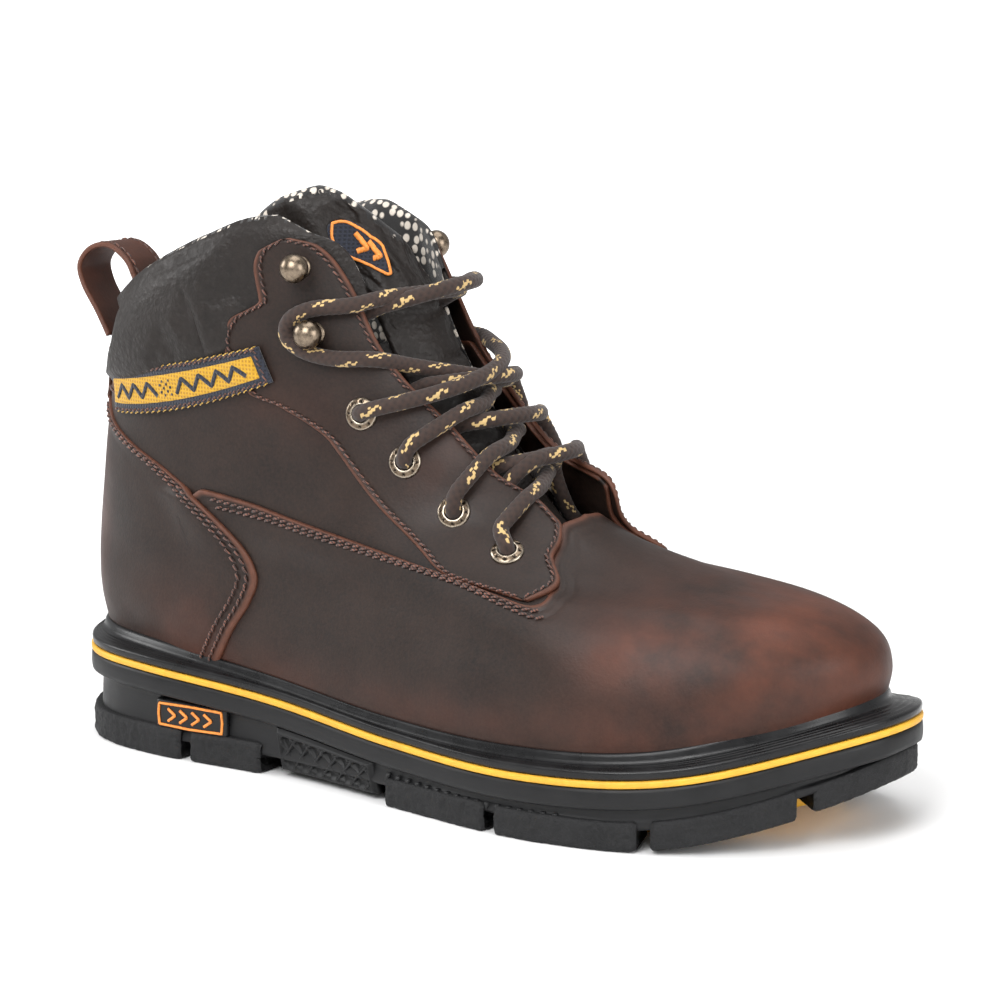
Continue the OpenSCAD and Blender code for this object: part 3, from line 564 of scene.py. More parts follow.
def thread(name, dark, light):
    """Two-ply sewing thread, each stitch a little different."""
    n = Nodes(name)
    twist = n.add("ShaderNodeTexWave", wave_type="BANDS", bands_direction="DIAGONAL")
    n.put(n.where, twist.inputs["Vector"])
    twist.inputs["Scale"].default_value = 420
    both = n.math("MULTIPLY", twist.outputs["Fac"], n.ramp(n.value("shade"), 0, 1, 0.45, 1.0))
    return n.finish(n.mix(both, dark, light), 0.62, n.bump(twist.outputs["Fac"], 0.12, 0.7), Sheen_Weight=0.2)


LEATHER = smooth_leather()
GRAIN = grain_leather()
RUBBER = rubber("sole_rubber", 0.48)
WELT_RUBBER = rubber("welt_rubber", 0.3)
LUG_RUBBER = rubber("lug_rubber", pebbled=True)
YELLOW = yellow_rubber()
BROWN_THREAD = thread("brown_thread", (0.022, 0.012, 0.01), (0.21, 0.075, 0.045))

# ---------------------------------------------------------------- the sole


def sole_outline(turns):
    """Points on the sole's edge and the outward direction at each."""
    def at(turn):
        turn = fold(turn)
        t = (1 - np.cos(np.radians(turn))) / 2
        x = SOLE_FRONT + (SOLE_BACK - SOLE_FRONT) * t
        swing = 8 * np.clip((x - 120) / 141, 0, 1) ** 2
        rows = np.where((turn < 0)[..., None], SOLE_OUTER, SOLE_INNER)
        return np.stack([x, swing + breadth(rows, turn) * np.sin(np.radians(turn))], -1)
    ahead = unit(at(turns + 0.5) - at(turns - 0.5))
    return at(turns), np.stack([ahead[:, 1], -ahead[:, 0]], -1)


def even_turns(n):
    """n turns that are evenly spaced along the sole's edge."""
    turns = np.linspace(-180, 180, 1441)
    p, _ = sole_outline(turns)
    run = run_along(p)
    return np.interp(np.linspace(0, run[-1], n, endpoint=False), run, turns)


def ground_z(x):
    """Height of the lugs' feet: flat, then sprung up at the toe."""
    return 19 * np.clip((x - 190) / 71, 0, 1) ** 1.8


TURNS = even_turns(560)
EDGE, EDGE_OUT = sole_outline(TURNS)
LINE = line_z(EDGE[:, 0])


def ring_solid(name, grid, material, **given):
    """A closed ring round the sole from a grid of points, one closed section for each of TURNS."""
    points = grid.reshape(-1, 3)
    faces = grid_faces(len(TURNS), grid.shape[1], wrap_rows=True, wrap_cols=True)
    mesh(name, points, turned_outward(points, faces), [material], **given)


def band(name, profile, material, **given):
    """A closed ring round the sole. profile lists (outset, z) pairs round the section."""
    grid = np.zeros((len(TURNS), len(profile), 3))
    for k, (outset, z) in enumerate(profile):
        grid[:, k, :2] = EDGE + EDGE_OUT * np.broadcast_to(outset, LINE.shape)[:, None]
        grid[:, k, 2] = z
    ring_solid(name, grid, material, **given)


def build_welt():
    """The bead against the upper, the flat ledge with its fine lines, and the rounded outer edge."""
    bead = skin(TURNS, 0.02, 0.4)[:, :2]
    span = np.linalg.norm(EDGE - bead, axis=1)
    k = np.clip(span / 6.5, 0.4, 1)
    toward = unit(EDGE - bead)
    # Distance from the upper, and height over the line.
    inner = [(-3.0, 1.6), (-2.4, 6.6), (-1.0, 7.5), (-0.1, 7.9), (0.6, 7.95), (1.2, 7.6), (1.65, 6.9),
             (1.9, 6.0), (2.3, 5.25), (2.9, 4.9)]
    pts = [np.column_stack([bead + toward * (a * k)[:, None], LINE + h]) for a, h in inner]
    start = bead + toward * (2.9 * k)[:, None]
    for s in np.linspace(0.08, 0.92, 12):
        ripple = 0.16 * math.cos(s * math.pi * 8)
        ledge = start * (1 - s) + (EDGE - EDGE_OUT * 0.7) * s
        pts.append(np.column_stack([ledge, LINE + 4.9 - 0.5 * s + ripple]))
    rim = [(-0.45, 4.25), (-0.1, 3.95), (0.05, 3.5), (0.0, 2.6), (-0.15, 1.6), (-0.7, 1.22), (-6, 1.2)]
    for out, h in rim:
        pts.append(np.column_stack([EDGE + EDGE_OUT * out, LINE + h]))
    ring_solid("welt_rand", np.stack(pts, 1), WELT_RUBBER, replaces=("welt",), slot="black_welt")


def build_sidewalls():
    """The yellow line, the midsole's wall under it, and the outsole's wall down to the lugs."""
    z = LINE
    band("yellow_line", [(-8, z + 1.15), (-0.3, z + 1.15), (0.22, z + 0.95), (0.42, z + 0.5), (0.45, z),
                         (0.42, z - 0.5), (0.22, z - 0.95), (-0.3, z - 1.15), (-8, z - 1.15)],
         YELLOW, replaces=("yellow_layer",), slot="yellow_rubber")
    drop = np.minimum(z - ground_z(EDGE[:, 0]) - 9.5, 8.0)
    low = z - drop
    band("midsole_wall", [(-10, z - 1.2), (-0.5, z - 1.2), (0.1, z - 1.6), (0.35, z - 2.6),
                          (0.45, z - drop * 0.5), (0.45, z - drop * 0.75), (0.2, low + 0.5),
                          (-0.4, low + 0.05), (-1.6, low), (-10, low)],
         RUBBER, replaces=("midsole",), slot="black_rubber")
    heel = step(60 - EDGE[:, 0], 0, 30)
    base = ground_z(EDGE[:, 0]) + 6.5
    band("outsole_wall", [(-12, low + 0.4), (-1.5, low + 0.4), (-2.0 - heel, low - 0.6),
                          (-2.2 - heel * 1.2, low - 2.5), (-1.8 - heel * 1.1, base + 3),
                          (-1.4 - heel * 0.6, base + 1.2), (-1.6, base), (-12, base)], RUBBER)


def sole_sheet(name, inset, heights, material, rows=150, x_range=None, **given):
    """A closed plate across the sole, set in from its edge. heights(x) gives its lower and upper z."""
    mid, half = (SOLE_FRONT + SOLE_BACK) / 2, (SOLE_FRONT - SOLE_BACK) / 2 - inset
    lo, hi = x_range or (SOLE_BACK, SOLE_FRONT)
    a = math.acos(min(1, max(-1, (hi - mid) / half))) + 0.004
    b = math.acos(min(1, max(-1, (lo - mid) / half))) - 0.004
    turns = np.degrees(np.linspace(a, b, rows))
    left, left_out = sole_outline(-turns)
    right, right_out = sole_outline(turns)
    left, right = left - left_out * inset, right - right_out * inset
    s = np.linspace(0, 1, 40)[None, :, None]
    flat = left[:, None] * (1 - s) + right[:, None] * s
    low, high = heights(flat[..., 0])
    top, bottom = (np.concatenate([flat, z[..., None]], -1) for z in (high, low))
    points, faces = closed_shell(top, bottom)
    mesh(name, points, faces, [material], **given)


def lug_block(turn_a, turn_b, depth, tall, out):
    """Points and faces of one edge lug between two turns: rounded corners and a pebbled skin."""
    cell = 0.8
    p, _ = sole_outline(np.linspace(turn_a, turn_b, 60))
    length = np.linalg.norm(np.diff(p, axis=0), axis=-1).sum()
    n = max(6, int(length / cell))
    s = np.linspace(0, 1, n)
    turns = turn_a + (turn_b - turn_a) * s
    edge, outdir = sole_outline(turns)
    ground = ground_z(edge[:, 0])
    # Section from the inner foot, under, up the outer wall, to the top: (distance in from the edge, height).
    under = [(d, 0.0) for d in np.arange(depth, 1.2, -1.1)]
    wall = [(1.0, 0.05), (0.45, 0.3), (0.12, 0.8)] + [(0.0, h) for h in np.arange(1.5, tall - 1.2, cell)]
    top = [(0.1, tall - 1.1), (0.4, tall - 0.4), (0.9, tall), (2.5, tall), (depth, tall)]
    section = np.array(under + wall + top)
    end = np.minimum(s, 1 - s) * length
    pinch = 0.9 * (1 - quarter_round(end / 1.4))
    d = np.minimum(section[None, :, 0] + pinch[:, None], depth)
    h = section[None, :, 1] + pinch[:, None] * np.where(section[None, :, 1] < tall / 2, 1, -1) * 0.8
    xy = edge[:, None] + outdir[:, None] * (out - d)[..., None]
    pts = np.concatenate([xy, (ground[:, None] + h)[..., None]], -1)
    flat = pts.reshape(-1, 3)
    rough = 0.3 * noise3(flat, 1.3, 3) + 0.2 * noise3(flat, 0.7, 5)
    push = np.where(section[None, :, 0] < 1.1, 1.0, 0.0) * np.ones((n, 1))
    flat[:, :2] += (outdir[:, None] * (push * rough.reshape(n, -1))[..., None]).reshape(-1, 2)
    under_mask = (section[None, :, 1] < 0.2) * np.ones((n, 1))
    flat[:, 2] += np.abs(rough) * 0.8 * under_mask.ravel()
    cols = section.shape[0]
    faces = [list(f) for f in grid_faces(n, cols, wrap_cols=True)]
    faces.append(list(range(cols))[::-1])
    faces.append([(n - 1) * cols + i for i in range(cols)])
    return flat, faces


def turn_at(x, side):
    """The turn where the sole's edge passes x."""
    t = (SOLE_FRONT - x) / (SOLE_FRONT - SOLE_BACK)
    return side * math.degrees(math.acos(1 - 2 * min(1, max(0, t))))


def join_blocks(blocks):
    pts, faces, start = [], [], 0
    for p, f in blocks:
        pts.append(p)
        faces += [[i + start for i in face] for face in f]
        start += len(p)
    return np.concatenate(pts), faces


def build_tread():
    """Edge lugs under the forefoot and the heel, the plate over them and the ribbed yellow pad."""
    blocks = []
    gap = 2.0
    for side in (-1, 1):
        for lo, hi in ((104, 150), (150, 202), (202, 243)):
            blocks.append(lug_block(turn_at(lo + gap, side), turn_at(hi - gap, side), 17, 9.4, 0.1))
    blocks.append(lug_block(turn_at(243 + gap, -1), turn_at(243 + gap, 1), 17, 9.0, -1.2))
    points, faces = join_blocks(blocks)
    mesh("forefoot_lugs", points, faces, [LUG_RUBBER], slot="black_rubber")
    heel = []
    for side in (-1, 1):
        heel.append(lug_block(turn_at(19 + gap, side), turn_at(50, side), 24, 10.5, -0.3))
    heel.append(lug_block(turn_at(19 - gap, -1), -180 - (180 - turn_at(19 - gap, 1)), 24, 10.5, -0.3))
    points, faces = join_blocks(heel)
    mesh("heel_lugs", points, faces, [LUG_RUBBER], replaces=("heel_lift",), slot="black_rubber")
    sole_sheet("outsole_plate", 6, lambda x: (ground_z(x) + 6.6, ground_z(x) + 9), RUBBER,
               replaces=("outsole",), slot="black_rubber")
    sole_sheet("tread_core_pad", 19,
               lambda x: (ground_z(x) + 1.5 + 0.5 * np.cos(x / 3.2) ** 2, ground_z(x) + 7),
               YELLOW, rows=240, x_range=(108, 236), replaces=("tread_core",), slot="yellow_rubber")


def build_waist_grip():
    """Crossed ridges under the arch, on both side walls."""
    for side, label in ((-1, "outer"), (1, "inner")):
        n, m = 150, 44
        front, back = 100, 57
        length = front - back
        turns = np.linspace(turn_at(front, side), turn_at(back, side), n)
        edge, outdir = sole_outline(turns)
        v = np.linspace(0, 1, m)
        run = np.linspace(0, length, n)[:, None]
        a = np.abs(((run + v[None] * 13) / 6.4) % 1 - 0.5) * 2
        b = np.abs(((run - v[None] * 13) / 6.4) % 1 - 0.5) * 2
        ridge = np.maximum(step(a, 0.62, 0.95), step(b, 0.62, 0.95))
        rim = np.minimum(np.minimum(run, length - run) / 2.5, np.minimum(v, 1 - v)[None] * 5.0)
        height = 1.5 * ridge * step(rim, 0.7, 1.0) + 1.7 * bell(rim, 0.55, 0.35)
        out = -1.2 - 3.2 * v[None] ** 1.3 + height * 0.9
        top = line_z(edge[:, 0])[:, None] - 8.4
        bottom = ground_z(edge[:, 0])[:, None] + 2.2
        z = top + (bottom - top) * v[None] - 0.6 * height * v[None]
        xy = edge[:, None] + outdir[:, None] * out[..., None]
        face = np.concatenate([xy, z[..., None]], -1)
        behind = np.concatenate([xy - outdir[:, None] * 3, z[..., None]], -1)
        points, faces = closed_shell(face, behind)
        mesh("waist_grip_" + label, points, faces, [RUBBER], slot="black_rubber")


build_welt()
build_sidewalls()
build_tread()
build_waist_grip()

# ---------------------------------------------------------------- the leather upper


def by_turn(start, end, n, low, high):
    """Boundaries of a panel that runs round the foot."""
    turns = np.linspace(start, end, n)
    a = np.abs(fold(turns))
    return np.column_stack([turns, soft(low, a)]), np.column_stack([turns, soft(high, a)])


def vamp_lift(turn, rise):
    """The vamp lies on the quarter along its wing and settles down on to the toe in front."""
    a = np.abs(fold(turn))
    below = soft(VAMP_TOP, a) - rise
    wing = step(a, 52, 66)
    return 0.15 + wing * 1.35 * (1 - step(below, 0.9, 1.9)) - 0.75 * (1 - wing) * (1 - step(below, 0.2, 1.2))


def counter_lift(turn, rise):
    """The heel counter lies on the quarter and on the ends of the vamp's wings."""
    a = np.abs(fold(turn))
    edge = soft(COUNTER_EDGE, np.clip(rise, 0, 6.1))
    near = 1 - step(a - edge, 6, 16)
    below = soft(VAMP_TOP, a) - rise
    over_wing = step(below, -0.25, 0.1)
    wing_lump = 1.4 * over_wing * (1 - step(below, 0.9, 1.9)) * (1 - step(a, 118, 128))
    return 0.3 + near * 1.2 * (0.35 + 0.65 * over_wing) + wing_lump * 0.95


def eyestay_lift(turn, rise):
    """The facing lies on the quarter and curls up a little along the throat, more on the inner side."""
    a = np.abs(fold(turn))
    lip = 1 - step(a - soft(THROAT, np.clip(rise, 3.1, 8.98)), 0, 26)
    high = np.where(fold(turn) > 0, 1.2 + 7.0 * bell(rise, 5.35, 0.36), 1.2)
    return 1.5 + lip * step(rise, 4.4, 5.15) * (1 - step(rise, 7.6, 8.6)) * high


def quarter_lift(turn, rise):
    return eyestay_lift(turn, rise) - 1.55


# Distances of the rows of stitches from a panel's edge, and the last turn of the vamp's wings.
SEAM = (2.6, 5.2)
WING_END = 124


def build_upper():
    """Vamp, heel counter, quarters, facings and back strip, and the rows of stitches on the vamp, the counter
    and the facings.
    """
    near, far = by_turn(-WING_END, WING_END, 300, [[0, 0], [180, 0]], VAMP_TOP)
    vamp = Panel(near, far, across=40, near_round=False)
    vamp.build("vamp_leather", vamp_lift, 1.6, [LEATHER], grooves=[(d, True) for d in SEAM],
               replaces=("vamp",), slot="brown_leather")
    rows = []
    for side in (-1, 1):
        for distance in SEAM:
            line = vamp.line(distance, from_far=True)
            keep = (side * line[:, 0] > 61) & (side * line[:, 0] < 113)
            rows.append((line[keep], vamp_lift))
    stitches("vamp_stitching", rows, BROWN_THREAD, slot="brown_leather")

    rises = np.linspace(0.02, 6.1, 150)
    edge = soft(COUNTER_EDGE, rises)
    counter = Panel(np.column_stack([edge, rises]), np.column_stack([360 - edge, rises]), across=70)
    counter.build("heel_counter_leather", counter_lift, 1.6, [LEATHER], replaces=("heel_counter",),
                  slot="brown_leather", grooves=[(d, far) for far in (False, True) for d in SEAM])
    rows = [(counter.line(d, far)[:-3], counter_lift) for d in SEAM for far in (False, True)]
    stitches("counter_stitching", rows, BROWN_THREAD, slot="brown_leather")

    for side, label in ((-1, "lateral"), (1, "medial")):
        near, far = by_turn(side * 22.2, side * 179.7, 150, QUARTER_LOW, QUARTER_TOP)
        Panel(near, far, across=24).build("quarter_leather_" + label, quarter_lift, 1.5, [LEATHER],
                                          replaces=("quarter_" + label,), slot="brown_leather")
        low, high = 3.12, 8.975
        rises = low + (high - low) * (1 - np.cos(np.linspace(0, np.pi, 230))) / 2
        near = np.column_stack([side * soft(THROAT, rises), rises])
        far = np.column_stack([side * soft(EYESTAY_BACK, rises), rises])
        stay = Panel(near, far, across=16)
        stay.build("eyestay_leather_" + label, eyestay_lift, 1.45, [LEATHER],
                   grooves=[(SEAM[0], False), (SEAM[0], True)],
                   replaces=("eyestay_" + label,), slot="brown_leather")
        rows = [(stay.line(SEAM[0], far)[14:-10], eyestay_lift) for far in (False, True)]
        stitches("eyestay_stitching_" + label, rows, BROWN_THREAD, pitch=2.7, thread=0.36,
                 slot="brown_leather")

    strip = Panel(*by_turn(160, 200, 60, [[0, 6.02], [180, 6.02]], [[0, 7.3], [180, 7.3]]), across=12)
    strip.build("back_strip_leather", 1.3, 1.2, [LEATHER], replaces=("back_strip",), slot="brown_leather")


build_upper()

# ---------------------------------------------------------------- hidden CAD parts keep their shape


def plain(name, color, rough, scale=400, metallic=0.0, depth=0.1):
    """One colour with faint spots, the spots' scale per metre and their depth in millimetres."""
    n = Nodes(name)
    spots = n.noise(scale, 4, 0.6)
    dark, light = tuple(c * 0.75 for c in color), tuple(min(1, c * 1.2) for c in color)
    tone = n.mix(n.ramp(spots, 0.3, 0.7), dark, light)
    sheen = n.ramp(spots, 0.3, 0.7, rough - 0.08, rough + 0.08)
    return n.finish(tone, sheen, n.bump(spots, depth, 0.6), Metallic=metallic)


def paint(node_name, look):
    """Gives a CAD part its material."""
    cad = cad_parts[node_name]
    cad.data.materials.clear()
    cad.data.materials.append(look)


HIDDEN = {
    "steel_toe_cap": plain("pressed_steel", (0.42, 0.43, 0.44), 0.35, 300, 1.0, 0.03),
    "steel_shank": plain("spring_steel", (0.5, 0.5, 0.52), 0.28, 500, 1.0, 0.02),
    "toe_cap_edge_trim": plain("trim_rubber", (0.03, 0.03, 0.03), 0.7),
    "heel_stiffener": plain("stiffener_sheet", (0.6, 0.55, 0.45), 0.6),
    "bottom_filler": plain("cork_filler", (0.3, 0.19, 0.1), 0.85, 260, 0.0, 0.4),
    "insole_board": plain("fibre_board", (0.42, 0.31, 0.18), 0.8, 900),
}
for hidden_name, hidden_look in HIDDEN.items():
    paint(hidden_name, hidden_look)

# ---------------------------------------------------------------- soft parts: materials


def oval_lining():
    """Black knit with off-white oval cells."""
    n = Nodes("oval_lining")
    stretched = n.scaled(n.where, (1.0, 1.0, 0.8))
    spot = n.ramp(n.cells(330, vector=stretched, randomness=0.4), 0.43, 0.33)
    fuzz = n.noise(2600, 3, 0.7)
    light = n.mix(fuzz, (0.52, 0.45, 0.38), (0.72, 0.66, 0.58))
    dark = n.mix(fuzz, (0.006, 0.006, 0.006), (0.02, 0.018, 0.018))
    knit = n.bump(n.math("ADD", spot, n.math("MULTIPLY", fuzz, 0.5)), 0.35, 0.9)
    return n.finish(n.mix(spot, dark, light), 0.9, knit, Sheen_Weight=0.3)


def cloth(name, dark, light):
    """Plain woven fabric."""
    n = Nodes(name)
    weft = n.add("ShaderNodeTexWave", wave_type="BANDS", bands_direction="Z")
    warp = n.add("ShaderNodeTexWave", wave_type="BANDS", bands_direction="X")
    for wave in (weft, warp):
        n.put(n.where, wave.inputs["Vector"])
        wave.inputs["Scale"].default_value = 1500 / 6.28
        wave.inputs["Distortion"].default_value = 0.4
    weave = n.math("MAXIMUM", weft.outputs["Fac"], warp.outputs["Fac"])
    fuzz = n.math("MULTIPLY", weave, n.ramp(n.noise(2200, 3, 0.7), 0.2, 0.8, 0.5, 1.1))
    return n.finish(n.mix(fuzz, dark, light), 0.85, n.bump(weave, 0.2, 0.8), Sheen_Weight=0.2)


def aged_metal():
    """Dark antique metal, rubbed bright on the high places and dirty in the pits."""
    n = Nodes("aged_metal")
    smudge = n.noise(700, 5, 0.65)
    tone = n.mix(n.ramp(smudge, 0.35, 0.7), (0.1, 0.072, 0.05), (0.27, 0.205, 0.145))
    tone = n.mix(n.value("shine"), tone, (0.52, 0.45, 0.36))
    tone = n.mix(n.value("pit"), tone, (0.012, 0.01, 0.009))
    return n.finish(tone, n.ramp(smudge, 0.3, 0.75, 0.2, 0.42), n.bump(smudge, 0.03, 0.5), Metallic=1.0)


def braid():
    """Dark brown braided cord with yellow flecks, which the mesh marks."""
    n = Nodes("braided_cord")
    strands = n.value("strand")
    fuzz = n.noise(3000, 3, 0.7)
    worn = n.math("MULTIPLY", strands, n.ramp(fuzz, 0.2, 0.8, 0.6, 1.1))
    brown = n.mix(worn, (0.005, 0.0025, 0.0018), (0.04, 0.019, 0.0125))
    tone = n.mix(n.ramp(n.value("fleck"), 0.35, 0.6), brown, (0.55, 0.38, 0.16))
    return n.finish(tone, 0.8, n.bump(fuzz, 0.08, 0.7), Sheen_Weight=0.15)


LINING = oval_lining()
SUEDE = plain("heel_suede", (0.04, 0.032, 0.028), 0.95, 2000, 0.0, 0.2)
NAVY = cloth("navy_weave", (0.004, 0.005, 0.009), (0.02, 0.024, 0.04))
GOLD = cloth("gold_weave", (0.33, 0.155, 0.004), (0.62, 0.35, 0.016))
ORANGE = plain("orange_edge", (0.8, 0.26, 0.04), 0.5, 900)
METAL = aged_metal()
CORD = braid()
GOLD_THREAD = thread("gold_thread", (0.3, 0.15, 0.01), (0.85, 0.55, 0.1))
FOOTBED_CLOTH = cloth("footbed_cloth", (0.012, 0.012, 0.014), (0.06, 0.06, 0.066))
TIP = plain("lace_tip_film", (0.03, 0.025, 0.02), 0.2, 500)

# ---------------------------------------------------------------- cloth simulation


def settle(thing, free, pressure, grow, cap):
    """Puffs a closed mesh as cloth. free is 0 where it is sewn down, 1 where it may move up to cap mm."""
    frames = 16
    data = thing.data
    count = len(data.vertices)
    rest = np.zeros(count * 3)
    data.vertices.foreach_get("co", rest)
    rest = rest.reshape(-1, 3)
    pins = thing.vertex_groups.new(name="sewn")
    for k in np.nonzero(free < 0.02)[0]:
        pins.add([int(k)], 1.0, "REPLACE")
    modifier = thing.modifiers.new("cloth", "CLOTH")
    s = modifier.settings
    s.quality = 5
    s.mass = 0.25
    s.tension_stiffness = s.compression_stiffness = 22
    s.shear_stiffness = 8
    s.bending_stiffness = 0.9
    s.use_pressure = True
    s.uniform_pressure_force = pressure
    s.shrink_min = s.shrink_max = -grow
    s.vertex_group_mass = "sewn"
    s.effector_weights.gravity = 0
    modifier.collision_settings.use_collision = False
    modifier.point_cache.frame_start = 1
    modifier.point_cache.frame_end = frames
    scene = bpy.context.scene
    scene.frame_start, scene.frame_end = 1, frames
    for frame_number in range(1, frames + 1):
        scene.frame_set(frame_number)
    shaped = thing.evaluated_get(bpy.context.evaluated_depsgraph_get())
    moved = np.zeros(count * 3)
    shaped.data.vertices.foreach_get("co", moved)
    moved = moved.reshape(-1, 3)
    thing.modifiers.remove(modifier)
    scene.frame_set(1)
    shift = (moved - rest) / MM
    size = np.linalg.norm(shift, axis=1, keepdims=True)
    shift = shift * np.minimum(1, cap / np.maximum(size, 1e-6)) * free[:, None]
    data.vertices.foreach_set("co", (rest + shift * MM).astype(np.float32).ravel())
    data.update()


def points_of(thing):
    co = np.zeros(len(thing.data.vertices) * 3)
    thing.data.vertices.foreach_get("co", co)
    return co.reshape(-1, 3) / MM


def drape(points, thing, lift):
    """Lays points on the front of a finished two-sided mesh, at a height over its smoothed surface."""
    front = len(thing.data.vertices) // 2
    base = points_of(thing)[:front]
    normals = np.array([v.normal for v in thing.data.vertices])[:front]
    tree = KDTree(len(base))
    for k, p in enumerate(base):
        tree.insert(p, k)
    tree.balance()
    result = np.zeros_like(points)
    for k, p in enumerate(points):
        near = [hit[1] for hit in tree.find_n(p, 70)]
        spot, up = base[near].mean(0), unit(normals[near].mean(0))
        result[k] = p + up * (lift[k] - np.dot(p - spot, up))
    return result


# ---------------------------------------------------------------- collar, linings and footbed


def closed_loop_mesh(name, rings, materials, face_slots, **given):
    """A solid from a row of closed sections, each the same number of points, with flat ends.

    face_slots gives the material of each side face; the ends take the first one.
    """
    n, m = rings.shape[:2]
    points = rings.reshape(-1, 3)
    faces = grid_faces(n, m, wrap_cols=True)
    if outward_volume(points, faces) < 0:
        faces = faces[:, ::-1]
        ends = [list(range(m)), [(n - 1) * m + i for i in range(m)][::-1]]
    else:
        ends = [list(range(m))[::-1], [(n - 1) * m + i for i in range(m)]]
    slots = list(face_slots) + [0, 0]
    return mesh(name, points, [list(f) for f in faces] + ends, materials, slots, **given)


PAD_FRONT = 39.0


def build_collar():
    """The padded collar: pebble leather outside and over the rim, lining inside."""
    n, side_points, rim_points = 330, 22, 7
    rim_end = side_points + rim_points
    turns = np.linspace(PAD_FRONT, 360 - PAD_FRONT, n)
    a = np.abs(fold(turns))
    low, high = soft(COLLAR_SEAM, a) - 0.06, soft(TOPLINE, a) - 0.2
    low = np.where(a < 66, np.maximum(low, soft([[38, 8.0], [46, 7.75], [66, 7.3]], a)), low)
    stuffed = step(a, 50, 67)
    behind_stay = step(a, 78, 96)
    inner = -2.6 - 8.2 * stuffed
    rings = []
    up = np.linspace(0, 1, side_points)
    for s in up:
        swell = (3.0 * behind_stay + 0.2) * math.sin(math.pi * s ** 0.8) ** 0.8
        rings.append((low + (high - low - 0.12) * s, -0.9 + swell))
    middle, radius = (inner - 0.9) / 2, (-0.9 - inner) / 2
    for angle in np.radians([25, 50, 72, 90, 108, 130, 155]):
        over = np.sin(angle) * np.minimum(radius, 4.6) * 0.068
        rings.append((high - 0.12 + over, middle + radius * math.cos(angle)))
    for s in up[::-1]:
        rings.append((low + (high - low - 0.14) * s, inner - 1.3 * stuffed * math.sin(math.pi * s) ** 0.8))
    grid = np.stack([skin(turns, r, l) for r, l in rings], 1)
    m = grid.shape[1]
    face_col = np.tile(np.arange(m), n - 1)
    face_row = np.repeat(np.arange(n - 1), m)
    jag = rng.integers(-1, 2, n - 1)[face_row]
    lined = (face_col >= side_points + 2 + jag) & (face_col < m - 1)
    pad = closed_loop_mesh("collar_pad", grid, [GRAIN, LINING], lined.astype(int),
                           replaces=("collar_cover", "collar_foam", "collar_lining"), slot="grain_leather")
    column = np.tile(np.arange(m), n)
    along = np.repeat(a, m)
    on_rim = (column >= side_points) & (column < rim_end)
    share = np.where(on_rim, 1.0, np.minimum(column, m - 1 - column) / (side_points - 1))
    free = step(share, 0.04, 0.3) * step(along, 74, 92) * (1 - 0.75 * on_rim)
    settle(pad, free, 5.0, 0.07, 2.4)
    rows = [(np.column_stack([t, soft(COLLAR_SEAM, np.abs(fold(t))) - 0.16]), 0.15)
            for t in (np.linspace(142, 163, 30), np.linspace(197, 275, 90))]
    stitches("collar_seam_stitching", rows, BROWN_THREAD, pitch=2.6, thread=0.34, slot="brown_leather")


def build_linings():
    """The inner walls of the boot."""
    for side, label in ((-1, "lateral"), (1, "medial")):
        near, far = by_turn(side * 45, side * 179.7, 90, [[45, 4.75], [64, 3.05], [180, 3.05]],
                            [[45, 7.75], [66, 7.4], [78, 7.25], [140, 6.5], [180, 6.5]])
        shaft = Panel(near, far, across=20)
        shaft.build("shaft_lining_" + label, lambda turn, rise: -2.4 - 4.6 * step(np.abs(fold(turn)), 50, 84),
                    0.9, [LINING], replaces=("quarter_lining",), slot="mesh_lining")
    low = [[0, 0.3], [180, 0.3]]
    forefoot = Panel(*by_turn(-120, 120, 150, low, [[0, 5.2], [40, 4.4], [64, 3.0], [120, 3.0]]), across=24)
    forefoot.build("forefoot_lining", -6.0, 0.9, [LINING], replaces=("vamp_lining",), slot="mesh_lining")
    heel = Panel(*by_turn(120.5, 239.5, 60, low, [[0, 3.02], [180, 3.02]]), across=12)
    heel.build("heel_suede_lining", -6.0, 0.9, [SUEDE], replaces=("heel_lining",), slot="heel_suede")


def build_footbed():
    """Moulded footbed: cupped edge, woven top."""
    turns = np.linspace(4, 176, 120)
    s = np.linspace(0, 1, 40)[None, :, None]
    left, right = skin(-turns, 0.5, -9.2), skin(turns, 0.5, -9.2)
    flat = left[:, None] * (1 - s) + right[:, None] * s
    x = flat[..., 0]
    rim = np.minimum(s[..., 0], 1 - s[..., 0]) * np.linalg.norm(right - left, axis=1)[:, None]
    base = line_z(x) + FEATHER
    cup = 2.6 * (1 - step(rim, 0, 9)) * (1 - 0.6 * step(x, 40, 120))
    round_off = 1.2 * (1 - step(rim, 0, 1.6))
    top = np.concatenate([flat[..., :2], (base + 7.2 + cup - round_off)[..., None]], -1)
    bottom = np.concatenate([flat[..., :2], (base + 3.5 + 0.4 * round_off)[..., None]], -1)
    points, faces = closed_shell(top, bottom)
    mesh("footbed_moulded", points, faces, [FOOTBED_CLOTH], body="insole", replaces=("footbed",),
         slot="footbed_foam")


# ---------------------------------------------------------------- tongue

# The tongue's outer and inner edges as [rise, turn], and its top as [turn, rise].
TONGUE_FOOT = 4.9
TONGUE_LEFT = [[4.9, -37], [7.7, -38], [8.3, -50], [8.8, -70], [9.1, -81]]
TONGUE_RIGHT = [[4.9, 37], [7.7, 38], [8.3, 34], [8.8, 28], [9.6, 20]]
TONGUE_TOP = [[-90, 8.95], [-78, 9.42], [-64, 9.66], [-49, 9.7], [-38, 9.55], [-29, 9.32],
              [-15, 9.05], [0, 8.85], [15, 8.65], [40, 8.2]]


